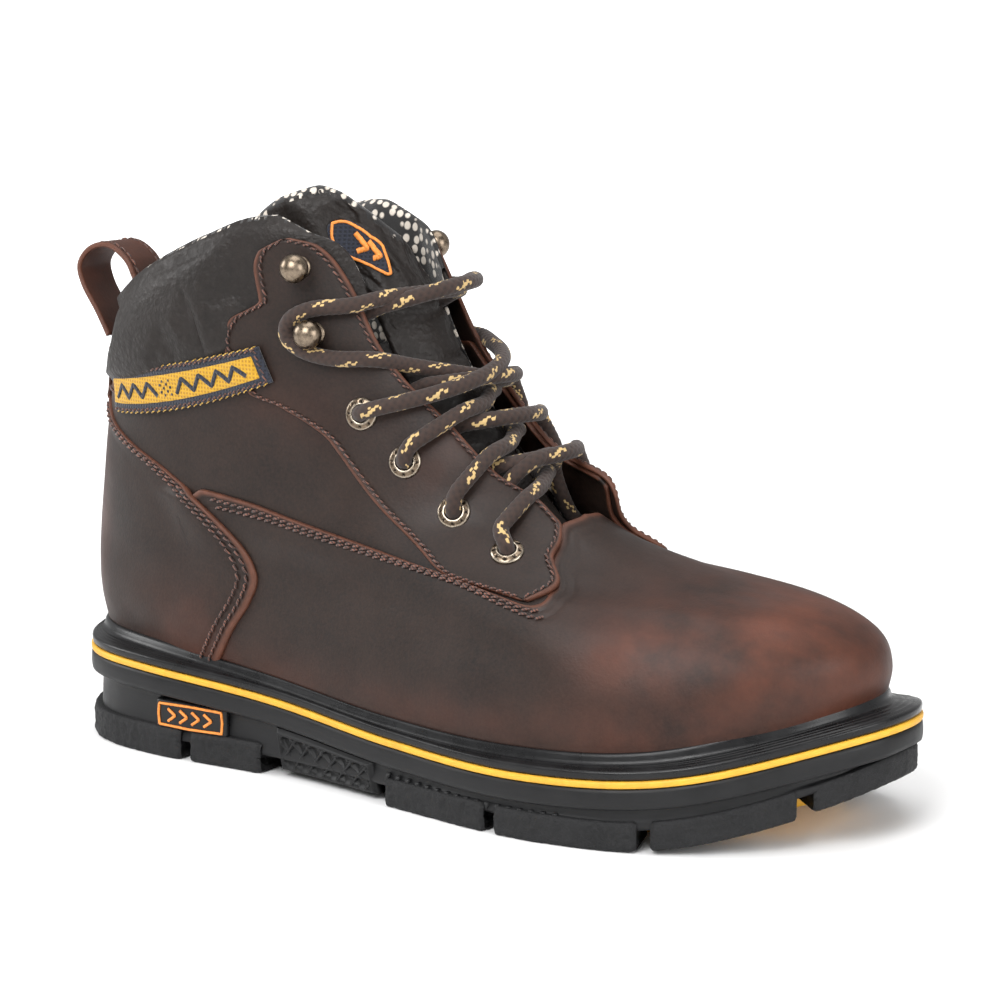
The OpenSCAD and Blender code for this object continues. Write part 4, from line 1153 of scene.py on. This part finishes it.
def tongue_lift(turn, rise):
    """Front face of the tongue: a low dome between the facings, then tucked in behind the collar's lining."""
    side = step(np.abs(turn), 30, 46) * step(rise, 7.2, 8.4)
    crease = sum(-0.9 * bell(rise, r, 0.075) for r in (5.75, 6.25, 6.8, 7.35, 7.9))
    lift = -8.4 - 3.2 * step(rise, 7.6, 8.9) - 2.1 * side
    return lift + crease * (1 - step(np.abs(turn), 20, 36)) + 1.0 * bell(turn, -52, 22) * bell(rise, 9.3, 0.5)


def build_tongue():
    """The padded tongue, which folds forward above the last crossing of the lace."""
    rows, cols = 120, 90
    q, s = np.meshgrid(np.linspace(0, 1, rows), np.linspace(0, 1, cols), indexing="ij")
    rise = TONGUE_FOOT + q * 4.6
    for _ in range(6):
        turn = soft(TONGUE_LEFT, rise) * (1 - s) + soft(TONGUE_RIGHT, rise) * s
        rise = TONGUE_FOOT + q * (soft(TONGUE_TOP, turn) - TONGUE_FOOT)
    middle = skin(turn, rise, -11.0)
    across = np.linalg.norm(np.diff(middle, axis=1), axis=-1)
    across = np.concatenate([np.zeros((rows, 1)), np.cumsum(across, 1)], 1)
    along = np.linalg.norm(np.diff(middle, axis=0), axis=-1)
    along = np.concatenate([np.zeros((1, cols)), np.cumsum(along, 0)], 0)
    gap = np.minimum(np.minimum(across, across[:, -1:] - across), along[-1:] - along)
    thick = (2.0 + 3.6 * step(rise, 5.2, 6.2)) * quarter_round(gap / 6.0, least=0.02)
    face = tongue_lift(turn, rise)
    front, back = (skin(turn, rise, face - 2.8 + half) for half in (thick / 2, -thick / 2))
    points, faces = closed_shell(front, back)
    # Leather in front, lining behind and over the top of the outer wing, and both mixed at the rim.
    flat = (rows - 1) * (cols - 1)
    row, col = np.divmod(np.arange(flat), cols - 1)
    jag = rng.integers(-1, 2, cols - 1)[col]
    mixed = rng.random(len(faces) - 2 * flat) < 0.55
    slots = np.concatenate([(row >= rows - 4 + jag) & (col < 62), np.ones(flat, bool), mixed]).astype(int)
    tongue = mesh("tongue_padded", points, faces, [GRAIN, LINING], slots, body=None,
                  replaces=("tongue_base", "tongue_flap"), slot="grain_leather")
    free = np.concatenate([(step(rise, 5.3, 6.0) * step(gap, 0.5, 5)).ravel()] * 2)
    settle(tongue, free, 3.0, 0.05, 1.6)
    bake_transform(tongue)
    return tongue


def rounded_square(n):
    """A grid of u and v from -1 to 1 with rounded corners, and how far each point is from the rim, 0 to 1."""
    corner = 0.22
    u, v = np.meshgrid(np.linspace(-1, 1, n), np.linspace(-1, 1, n), indexing="ij")
    r = np.maximum(np.abs(u), np.abs(v))
    circle = np.sqrt(u**2 + v**2)
    pull = np.where(circle > 0, r / np.maximum(circle, 1e-6), 1)
    k = 1 - corner * 1.6 * np.clip(np.abs(u * v), 0, 1) ** 2 * (1 - pull) * 3
    return u * k, v * k, 1 - r


def cord_mesh(name, path, radius, material, sides=10, up=None, flat=1.0, **given):
    """A round or flattened cord with closed ends along a path."""
    ahead, side, top = frames_along(path)
    if up is not None:
        top = unit(up - ahead * np.sum(up * ahead, -1, keepdims=True))
        side = np.cross(ahead, top)
    angle = np.linspace(0, 2 * np.pi, sides, endpoint=False)
    r = np.broadcast_to(radius, (len(path),))[:, None, None]
    rings = path[:, None] + r * section_ring(angle, side, top, flat)
    return closed_loop_mesh(name, rings, [material], [0] * ((len(path) - 1) * sides), **given)


def line_through(places, lift):
    """Evenly spaced rows of x, y, z, turn and rise along (turn, rise) places."""
    return resample(np.concatenate([skin(places[:, 0], places[:, 1], lift), places], 1), 0.5)


def motif_path(places, tongue, lift):
    """A path through (turn, rise) places laid on the tongue, and the outward directions along it."""
    line = line_through(np.array(places, float), -8.0)
    return drape(line[:, :3], tongue, np.full(len(line), lift)), outward(line[:, 3], line[:, 4])


def badge_place(u, v):
    """A place on the badge, u and v from -1 to 1, as (turn, rise). It follows the tongue's sloping top."""
    return -34.5 + 12.5 * u + 1.3 * v, 8.72 - 0.22 * u + 0.26 * v


def build_badge(tongue):
    """Woven badge: dark field, orange outline and two plain chevrons."""
    n = 40
    u, v, inside = rounded_square(n)
    turn, rise = badge_place(u, v)
    base = skin(turn, rise, -8.0).reshape(-1, 3)
    bulge = 0.25 + 0.55 * np.sqrt(np.clip(inside.ravel() / 0.12, 0, 1))
    top = drape(base, tongue, bulge).reshape(n, n, 3)
    bottom = drape(base, tongue, np.full(len(base), -0.6)).reshape(n, n, 3)
    points, faces = closed_shell(top, bottom)
    mesh("badge_field", points, faces, [NAVY], body="tongue_top", replaces=("tongue_patch",),
         slot="tongue_badge")
    outline = [(-0.86, -0.68), (-0.9, 0), (-0.86, 0.68), (-0.7, 0.84), (0, 0.86), (0.7, 0.84), (0.86, 0.68),
               (0.9, 0), (0.86, -0.68), (0.7, -0.84), (0, -0.86), (-0.7, -0.84), (-0.86, -0.68)]
    path, up = motif_path([badge_place(*place) for place in outline], tongue, 0.85)
    cord_mesh("badge_outline", path, 0.5, ORANGE, 8, up, 0.5, body="tongue_top", slot="tongue_badge")
    for k, centre in enumerate((-0.1, 0.42)):
        arms = [(centre - 0.22, -0.46), (centre + 0.18, 0), (centre - 0.22, 0.46)]
        path, up = motif_path([badge_place(*place) for place in arms], tongue, 0.9)
        cord_mesh(f"badge_chevron_{k}", path, 0.95, ORANGE, 8, up, 0.5, body="tongue_top",
                  slot="tongue_badge")


def build_gussets():
    """The folded leather that joins the tongue's lower sides to the quarters."""
    front, back = 35, 60
    low, high = [[front, 5.1], [back, 4.9]], [[front, 7.6], [back, 7.3]]
    for side, label in ((-1, "lateral"), (1, "medial")):
        gusset = Panel(*by_turn(side * front, side * back, 40, low, high), across=16)
        gusset.build("tongue_gusset_" + label,
                     lambda turn, rise: -11.5 + 5.5 * step(np.abs(turn), 40, 60) + 0.8 * np.sin(rise * 9),
                     0.9, [GRAIN], replaces=("tongue_gussets",), slot="grain_leather")


# ---------------------------------------------------------------- label, pull loop, heel plaque

LABEL_FRONT, LABEL_BACK = 77.5, 142
LABEL_LOW = [[LABEL_FRONT, 6.97], [135, 6.02], [LABEL_BACK, 5.98]]
LABEL_HIGH = [[LABEL_FRONT, 7.5], [135, 6.92], [LABEL_BACK, 6.86]]
# Faces of a box whose corners are listed round its bottom, then round its top.
BOX_FACES = [[3, 2, 1, 0], [4, 5, 6, 7], [0, 1, 5, 4], [1, 2, 6, 5], [2, 3, 7, 6], [3, 0, 4, 7]]


def label_lift(turn, rise):
    """The label lies on the quarter and the collar, and climbs on to the facing at its front end."""
    a = np.abs(fold(turn))
    return 2.0 + 1.5 * (1 - step(a, 84, 95)) + 0.5 * bell(rise - soft(COLLAR_SEAM, a), 0.3, 0.3)


def over_label(extra):
    """A lift function for a height over the label."""
    return lambda turn, rise: label_lift(turn, rise) + extra


def label_place(along, up):
    """A place on the label: along 0 to 1 from its front end, up 0 to 1 from its lower edge."""
    turn = LABEL_FRONT + (LABEL_BACK - LABEL_FRONT) * np.asarray(along, float)
    low, high = soft(LABEL_LOW, turn), soft(LABEL_HIGH, turn)
    return np.stack([-turn, low + (high - low) * np.asarray(up, float)], -1)


def build_label():
    """Woven label: dark ribbon, yellow field, two zigzags and a patch of dots, sewn round its edge."""
    s = np.linspace(0, 1, 120)
    ribbon = Panel(label_place(s, 0 * s), label_place(s, 0 * s + 1), across=20, edge=0.5, ends_round=True)
    ribbon.build("label_ribbon", label_lift, 1.3, [NAVY], replaces=("side_label",), slot="woven_label")
    s = np.linspace(0.045, 0.985, 120)
    field = Panel(label_place(s, 0 * s + 0.2), label_place(s, 0 * s + 0.8), across=16, edge=0.3,
                  ends_round=True)
    field.build("label_field", over_label(0.35), 0.8, [GOLD], slot="woven_label")
    for k, (first, last, corners) in enumerate(((0.10, 0.5, 9), (0.62, 0.93, 7))):
        places = label_place(np.linspace(first, last, corners), np.where(np.arange(corners) % 2, 0.66, 0.34))
        line = line_through(places, label_lift(places[:, 0], places[:, 1]) + 0.5)
        cord_mesh(f"label_zigzag_{k}", line[:, :3], 0.8, NAVY, 8, outward(line[:, 3], line[:, 4]), 0.45,
                  slot="woven_label")
    blocks = []
    for turn, rise in (label_place(0.53 + 0.02 * i, 0.34 + 0.08 * j)
                       for i in range(4) for j in range(5) if (i + j) % 2 == 0):
        centre, n = skin(turn, rise, label_lift(turn, rise) + 0.45), outward(turn, rise)
        w = unit(np.cross(n, [0, 0, 1.0]))
        h = np.cross(n, w)
        corners = [centre + 0.4 * (i * w + j * h) + k * 0.14 * n
                   for k in (-1, 1) for i, j in ((-1, -1), (1, -1), (1, 1), (-1, 1))]
        blocks.append((np.array(corners), BOX_FACES))
    mesh("label_dots", *join_blocks(blocks), [NAVY], slot="woven_label")
    s = np.linspace(0.012, 0.99, 90)
    lines = [label_place(s, 0 * s + 0.06), label_place(s, 0 * s + 0.94),
             label_place(np.full(12, 0.022), np.linspace(0.08, 0.92, 12))]
    stitches("label_stitching", [(line, over_label(0.1)) for line in lines], BROWN_THREAD, pitch=2.3,
             thread=0.33, slot="woven_label")
    lines = [label_place(s, 0 * s + 0.005), label_place(s, 0 * s + 0.985)]
    stitches("label_edge_yarn", [(line, over_label(-0.5)) for line in lines], GOLD_THREAD, pitch=2.9,
             thread=0.24, slot="woven_label")


# The pull loop's middle line as [x, z], and half its width.
LOOP = [[-40.2, 134.6], [-45, 143], [-50.5, 151.5], [-52, 158.5], [-47, 164.3], [-39, 165.8], [-31.5, 161.5],
        [-27.6, 155]]
LOOP_HALF = 8.4


def loop_stitch(path, ahead, run, centre, side):
    """Points and faces of one stitch on the pull loop."""
    pts = []
    for away in (-1.35, -0.8, 0, 0.8, 1.35):
        x, z = (np.interp(centre + away, run, path[:, k]) for k in range(2))
        fx, fz = (np.interp(centre + away, run, ahead[:, k]) for k in range(2))
        height, thick = 0.95 - 0.5 * (abs(away) / 1.35) ** 3, 0.4 if abs(away) < 1 else 0.22
        for angle in THREAD_ANGLES:
            up = height + thick * math.sin(angle)
            pts.append([x - fz * up, side * LOOP_HALF + thick * math.cos(angle), z + fx * up])
    tube = grid_faces(5, 6, wrap_cols=True).tolist()
    return np.array(pts), tube + [[5, 4, 3, 2, 1, 0], [24, 25, 26, 27, 28, 29]]


def build_pull_loop():
    """A folded strap of leather with a row of stitches near each edge."""
    n = 80
    path = smooth(LOOP, np.linspace(0, len(LOOP) - 1, n))
    ahead = unit(np.gradient(path, axis=0))
    normal = np.stack([-ahead[:, 1], ahead[:, 0]], -1)
    y = np.concatenate([[-1, -0.985, -0.94, -0.88, -0.8, -0.74, -0.66], np.linspace(-0.5, 0.5, 9),
                        [0.66, 0.74, 0.8, 0.88, 0.94, 0.985, 1]])
    edge = 0.95 * np.sqrt(np.clip(1 - (np.clip((np.abs(y) - 0.9) / 0.1, 0, 1)) ** 2, 0, 1))
    groove = 0.25 * bell(np.abs(y), 0.72, 0.05)
    sag = 0.25 * np.cos(np.linspace(0, 2 * np.pi, n))[:, None] * np.sin(y * 2.4)[None]
    grids = []
    for offset in (edge - groove, -edge):
        shift = offset[None] + sag
        x, z = (path[:, k:k + 1] + normal[:, k:k + 1] * shift for k in range(2))
        grids.append(np.stack([x, np.broadcast_to(y * LOOP_HALF, x.shape), z], -1))
    points, faces = closed_shell(*grids)
    rub = np.tile(step(np.abs(y), 0.86, 0.97), 2 * n)
    mesh("pull_loop_leather", points, faces, [LEATHER], body="loop", replaces=("pull_loop",),
         slot="brown_leather", values={"rub": rub, "pull_and_highlight": np.full(len(points), 0.75)})
    run = run_along(path)
    blocks = [loop_stitch(path, ahead, run, centre, side)
              for side in (-0.72, 0.72) for centre in np.arange(3, run[-1] - 2, 3.0)]
    points, faces = join_blocks(blocks)
    mesh("pull_loop_stitching", points, faces, [BROWN_THREAD], body="loop", slot="brown_leather",
         values={"shade": np.repeat(rng.random(len(blocks)), 30)})


def wall_point(x, z, out):
    """A point on the outer side wall of the heel."""
    edge, outdir = sole_outline(np.array([turn_at(x, -1)]))
    return np.array([edge[0, 0] + outdir[0, 0] * out, edge[0, 1] + outdir[0, 1] * out, z])


def build_heel_plaque():
    """The heel's plaque with its frame and chevrons, and the bars on the forefoot's side wall."""
    n, m = 40, 16
    x0, x1, z0, z1 = 6.4, 36.0, 10.0, 19.9
    x, z = np.meshgrid(np.linspace(x0, x1, n), np.linspace(z0, z1, m), indexing="ij")
    rim = np.minimum(np.minimum(x - x0, x1 - x), np.minimum(z - z0, z1 - z))
    out = -0.95 - 0.7 * (1 - quarter_round(rim / 0.8))
    front = np.array([[wall_point(x[i, j], z[i, j], out[i, j]) for j in range(m)] for i in range(n)])
    back = np.array([[wall_point(x[i, j], z[i, j], -4.2) for j in range(m)] for i in range(n)])
    points, faces = closed_shell(front, back)
    mesh("heel_plaque_plate", points, faces, [WELT_RUBBER], replaces=("heel_plaque",), slot="black_rubber")
    mid_x, mid_z, raised = (x0 + x1) / 2, (z0 + z1) / 2, -0.75
    corners = [(-1, -1), (-1.03, 0), (-1, 1), (0, 1.08), (1, 1), (1.03, 0), (1, -1), (0, -1.08), (-1, -1)]
    frame_line = [(mid_x + 13 * i, mid_z + 3.6 * j) for i, j in corners]
    path = resample(np.array([wall_point(a, b, raised) for a, b in frame_line]), 0.5)
    cord_mesh("heel_plaque_frame", path, 0.46, ORANGE, 8, slot="orange_plaque")
    for k, centre in enumerate(mid_x + 5 * np.array([-1.5, -0.5, 0.5, 1.5])):
        arms = [(centre - 1.6, mid_z - 2.1), (centre + 1.4, mid_z), (centre - 1.6, mid_z + 2.1)]
        path = resample(np.array([wall_point(a, b, raised) for a, b in arms]), 0.5)
        cord_mesh(f"heel_plaque_chevron_{k}", path, 0.5, ORANGE, 8, slot="orange_plaque")
    bars = []
    outline = [(-0.7, -1.3), (0.7, -1.3), (1.6, 1.3), (0.2, 1.3)]
    for x in np.arange(106, 176, 4.2):
        pts = np.array([wall_point(x + dx, line_z(x) - 11.6 + dz, out)
                        for out in (-3.4, -0.9) for dx, dz in outline])
        bars.append((pts, BOX_FACES))
    mesh("sidewall_bars", *join_blocks(bars), [RUBBER], slot="black_rubber")


# ---------------------------------------------------------------- eyelets, hooks and lace


def revolve(profile, turn, rise, lift, segments):
    """Points and faces of a turned shape on the skin. profile(angles) gives radii and heights."""
    n = outward(turn, rise)
    w = unit(np.cross(n, [0, 0, 1.0]))
    h = np.cross(n, w)
    centre = skin(turn, rise, lift)
    angle = np.linspace(0, 2 * np.pi, segments, endpoint=False)
    radius, height = profile(angle)
    pts = (centre + radius[..., None] * (np.cos(angle)[:, None, None] * w + np.sin(angle)[:, None, None] * h)
           + height[..., None] * n).reshape(-1, 3)
    faces = grid_faces(segments, radius.shape[1], wrap_rows=True)
    return pts, turned_outward(pts - centre, faces)


def turned(angle, radii, heights):
    """The same radii and heights at every angle."""
    radius = np.broadcast_to(radii, (len(angle), len(radii))).copy()
    return radius, np.broadcast_to(heights, radius.shape).copy()


def pit_depth(angle, radius):
    """Depth, 0 to 1, of the eight pits pressed into an eyelet's flange."""
    eighth = np.pi / 4
    nearest = np.abs((angle / eighth + 0.5) % 1 - 0.5) * eighth
    return bell(np.hypot(radius - 4.15, nearest[:, None] * radius), 0, 0.5)


def eyelet_profile(angle):
    """From the bottom of the bore, over the rolled lip and down the flange."""
    radius, height = turned(angle, [0.02, 1.2, 2.55, 2.6, 2.62, 2.7, 2.9, 3.2, 3.5, 3.7,
                                    3.9, 4.1, 4.3, 4.5, 4.7, 4.9, 5.1, 5.25, 5.35, 5.3],
                            [-1.3, -1.3, -1.25, -0.6, 0.3, 0.85, 1.2, 1.32, 1.28, 1.22,
                             1.16, 1.1, 1.04, 0.97, 0.88, 0.75, 0.57, 0.35, 0.1, -0.3])
    return radius, height - 0.55 * pit_depth(angle, radius)


def hook_profile(angle):
    """From the foot of the stem to the top of the ball."""
    arc = np.radians(np.linspace(-62, 90, 26))
    radii = np.concatenate([[3.7, 3.75, 3.5, 2.2, 1.9, 1.85], 4.7 * np.cos(arc)])
    radii[-1] = 0.02
    return turned(angle, radii, np.concatenate([[-0.2, 0.35, 0.7, 0.95, 1.5, 2.6], 6.6 + 4.3 * np.sin(arc)]))


def facing_lift(turn, rise):
    return float(eyestay_lift(np.array(float(turn)), np.array(float(rise))))


def eyelet_seat(side, turn, rise):
    return facing_lift(side * turn, rise) + 0.1


def build_hardware():
    """The eyelets and the ball hooks of both facings."""
    segments = 96
    angle = np.linspace(0, 2 * np.pi, segments, endpoint=False)
    radius, _ = eyelet_profile(angle)
    pits = np.clip(pit_depth(angle, radius) * 1.3 + (radius < 2.58), 0, 1).ravel()
    shine = np.clip(bell(radius, 3.2, 0.28) + bell(radius, 5.05, 0.2), 0, 1).ravel()
    for side, label in ((-1, "lateral"), (1, "medial")):
        rings = [revolve(eyelet_profile, side * turn, rise, eyelet_seat(side, turn, rise), segments)
                 for turn, rise in EYELETS]
        mesh("eyelets_" + label, *join_blocks(rings), [METAL], replaces=("eyelets",), slot="aged_brass",
             values={"pit": np.tile(pits, len(EYELETS)), "shine": np.tile(shine, len(EYELETS))})
        balls = [revolve(hook_profile, side * turn, rise, eyelet_seat(side, turn, rise), 48)
                 for turn, rise in HOOKS]
        points, faces = join_blocks(balls)
        mesh("lace_hooks_" + label, points, faces, [METAL], replaces=("lace_hooks",), slot="aged_brass",
             values={"pit": np.zeros(len(points)), "shine": np.full(len(points), 0.12)})


# The lace: its radius, the gap between its sections, its lift behind an eyelet, and its three arches' rise.
LACE_R = 2.62
LACE_STEP = 0.42
UNDER = -5.2
ARCH_RISE = [5.82, 6.34, 6.82]


def throat(rise):
    return float(soft(THROAT, rise))


def eyelet_pass(k, start_side):
    """One pass of the lace from inside eyelet k to inside the far side's next one up, as (turn, rise, lift).

    A pass from the inner side arches over the tongue and tucks under the outer facing. One from the outer
    side climbs steeply and dives under that arch.
    """
    (t0, r0), (t1, r1) = EYELETS[k], EYELETS[k + 1]
    s, far = start_side, -start_side
    seat = eyelet_seat(s, t0, r0)
    arch = ARCH_RISE[k]
    places = [(s * t0, r0, UNDER), (s * t0, r0, seat - 1.5), (s * (t0 - 0.5), r0 + 0.03, seat + 1.9)]
    if s < 0:
        places += [(s * (t0 - 7), r0 + 0.3 * (arch - r0), seat + 3.9),
                   (s * 27, r0 + 0.68 * (arch - r0), facing_lift(-27, r0 + 0.5) + 1.7),
                   (s * 10, arch - 0.12, -1.2), (far * 6, arch + 0.02, -3.6 + rng.uniform(-0.2, 0.2)),
                   (far * (throat(arch) - 4), arch - 0.05, -4.6)]
    else:
        lip = throat(arch)
        lip_lift = facing_lift(lip + 1.0, arch - 0.1)
        places += [(s * (t0 - 7), r0 + 0.35 * (arch - r0), seat + 4.2),
                   (s * (lip + 2), arch - 0.12, lip_lift + 2.8), (s * (lip - 9), arch, lip_lift + 2.0),
                   (far * 3, arch + 0.12, 2.0 + rng.uniform(-0.3, 0.3)), (far * (lip - 9), arch + 0.14, -0.8),
                   (far * (lip - 1), arch + 0.1, -4.0)]
    return places + [(far * (t1 - 6), (arch + r1) / 2, UNDER - 0.3)]


def hook_pass(start_side):
    """From the top eyelet over to the far lower hook, round its stem, and back behind the facing."""
    (t0, r0), (th, rh) = EYELETS[3], HOOKS[0]
    s, far = start_side, -start_side
    seat, hook = eyelet_seat(s, t0, r0), eyelet_seat(far, th, rh)
    top = 3.6 if s < 0 else -1.9
    lip = throat(rh)
    return [(s * t0, r0, UNDER), (s * t0, r0, seat - 1.5), (s * (t0 - 0.5), r0 + 0.01, seat + 1.9),
            (s * (t0 - 9), r0 + 0.1, seat + 4.4), (s * 20, r0 + 0.3, top + 1.8), (0, 7.0, top),
            (far * (lip - 10), 7.18, top + 0.4), (far * (lip + 3), 7.26, hook + 3.6),
            (far * (th - 3), rh - 0.33, hook + 3.4), (far * (th + 4.5), rh - 0.2, hook + 3.1),
            (far * (th + 7.2), rh, hook + 3.1), (far * (th + 4.5), rh + 0.22, hook + 3.1),
            (far * (th - 3), rh + 0.33, hook + 3.4), (far * (lip + 3), 7.96, hook + 3.5),
            (far * (lip - 12), 8.03, top + 1.4), (s * 6, 8.02, top + 0.3), (s * (lip - 10), 7.95, -1.0),
            (s * (lip - 1), 7.88, -3.4), (s * (lip + 6), 7.8, -5.6), (s * 52, 7.76, -6.2)]


def lace_path():
    """The lace's middle line: down one end's passes, across the bottom bar, and up the other end's."""
    bar = [(44, 4.95, UNDER), (32, 5.42, -4.6), (23, 5.78, -2.0), (9, 5.93, 1.6), (-9, 5.93, 1.8),
           (-23, 5.76, -2.0), (-32, 5.42, -4.6), (-44, 4.95, UNDER)]

    def half(side):
        places, s = [], side
        for k in range(len(ARCH_RISE)):
            places += eyelet_pass(k, s)
            s = -s
        return places + hook_pass(s)

    right, left = half(1), half(-1)
    places = np.array(right[::-1] + bar + left, float)
    p = smooth(places, np.linspace(0, len(places) - 1, (len(places) - 1) * 16 + 1))
    rough = resample(skin(p[:, 0], p[:, 1], p[:, 2]), LACE_STEP)
    kernel = np.exp(-(np.arange(-5, 6) / 2.6) ** 2)
    kernel /= kernel.sum()
    return np.stack([np.convolve(np.pad(rough[:, k], 5, mode="edge"), kernel, "valid") for k in range(3)], -1)


def yellow_flecks(run, v):
    """Where the yellow strands show: pairs of short wavy marks, run along the lace and v round it."""
    fleck = np.zeros((len(run), len(v)))
    for first in np.arange(0, 1, 0.25):
        for pair, shift in ((0, 0.0), (0.085, 3.2)):
            place = (run[:, None] + shift + 24 * first * 1.618) % 21
            on = step(place, 0.0, 0.5) * (1 - step(place, 4.0, 4.6))
            wiggle = 0.022 * np.sign(np.sin(run[:, None] * 2.5))
            away = np.abs((v[None] - first - pair - wiggle + 0.5) % 1 - 0.5)
            fleck = np.maximum(fleck, on * (1 - step(away, 0.016, 0.036)))
    return fleck


def build_lace():
    """The braided lace in one length, and its two tips inside the shaft."""
    path = lace_path()
    _, side, top = frames_along(path)
    sides = 26
    v = np.arange(sides) / sides
    run = np.arange(len(path)) * LACE_STEP
    a, b = (np.abs(np.sin(np.pi * ((run[:, None] / 2.5 + way * v[None] * 5) % 1))) for way in (1, -1))
    strand = np.maximum(a ** 0.7, b ** 0.7) * 0.75 + 0.25 * a * b
    radius = LACE_R - 0.28 + 0.3 * strand
    rings = path[:, None] + radius[..., None] * section_ring(2 * np.pi * v, side, top)
    values = {"strand": strand.ravel(), "fleck": yellow_flecks(run, v).ravel()}
    closed_loop_mesh("lace_braided", rings, [CORD], [0] * ((len(path) - 1) * sides), replaces=("lace",),
                     slot="braided_lace", values=values)
    for way, label in ((-1, "lateral"), (1, "medial")):
        tip = [(way * 52, 7.78, -6.3), (way * 54, 8.1, -6.6), (way * 54.5, 8.55, -6.8)]
        tip = smooth(tip, np.linspace(0, 2, 24))
        cord_mesh("lace_tip_" + label, skin(tip[:, 0], tip[:, 1], tip[:, 2]), 2.0, TIP, 14,
                  replaces=("lace_tips",), slot="lace_tip_plastic")


build_collar()
build_linings()
build_footbed()
TONGUE = build_tongue()
build_badge(TONGUE)
build_gussets()
build_label()
build_pull_loop()
build_heel_plaque()
build_hardware()
build_lace()
paint("eyelet_washers", METAL)
paint("hook_rivets", METAL)

# ---------------------------------------------------------------- floor, light and camera


def build_stage():
    """A pale floor that fades to white, a white studio, four soft lights, and the camera."""
    bpy.ops.mesh.primitive_plane_add(size=40, location=(0, 0, 0))
    floor = bpy.context.object
    floor.name = "floor"
    n = Nodes("pale_floor")
    away = n.add("ShaderNodeVectorMath", operation="LENGTH")
    n.put(n.where, away.inputs[0])
    seen = n.add("ShaderNodeLightPath").outputs["Is Camera Ray"]
    fade = n.math("MULTIPLY", n.ramp(away.outputs["Value"], 0.25, 1.4, 0.0, 1.0), seen)
    pale = n.finish((0.92, 0.92, 0.92), 0.8, Emission_Color=(1, 1, 1), Emission_Strength=fade)
    floor.data.materials.append(pale)
    world = bpy.data.worlds.new("studio")
    bpy.context.scene.world = world
    world.use_nodes = True
    seen = world.node_tree.nodes.new("ShaderNodeLightPath").outputs["Is Camera Ray"]
    bright = world.node_tree.nodes.new("ShaderNodeMapRange")
    bright.inputs["To Min"].default_value, bright.inputs["To Max"].default_value = 0.5, 1.0
    world.node_tree.links.new(seen, bright.inputs["Value"])
    backdrop = world.node_tree.nodes["Background"]
    backdrop.inputs["Color"].default_value = (1, 1, 1, 1)
    world.node_tree.links.new(bright.outputs["Result"], backdrop.inputs["Strength"])
    middle = Vector((0.1, 0, 0.08))
    lights = (("key", (0.25, -1.1, 1.0), 0.8, 17), ("left", (-1.3, -0.5, 0.7), 0.7, 10),
              ("top", (0.1, 0.1, 1.6), 1.2, 12), ("right", (1.3, -0.2, 0.5), 0.7, 7))
    for name, place, size, power in lights:
        light = bpy.data.lights.new(name, "AREA")
        light.energy, light.size = power, size
        lamp = bpy.data.objects.new(name, light)
        bpy.context.scene.collection.objects.link(lamp)
        lamp.location = place
        lamp.rotation_euler = (middle - Vector(place)).to_track_quat("-Z", "Y").to_euler()
    azimuth, elevation, distance = math.radians(33), math.radians(11), 1.1
    back = Vector((math.sin(azimuth) * math.cos(elevation), -math.cos(azimuth) * math.cos(elevation),
                   math.sin(elevation)))
    lens = bpy.data.cameras.new("camera")
    lens.lens, lens.sensor_width = 122.0, 36.0
    camera = bpy.data.objects.new("camera", lens)
    bpy.context.scene.collection.objects.link(camera)
    camera.location = Vector((0.116, 0, 0.092)) + back * distance
    camera.rotation_euler = (-back).to_track_quat("-Z", "Y").to_euler()
    bpy.context.scene.camera = camera
    bpy.context.scene.view_settings.view_transform = "Standard"


build_stage()
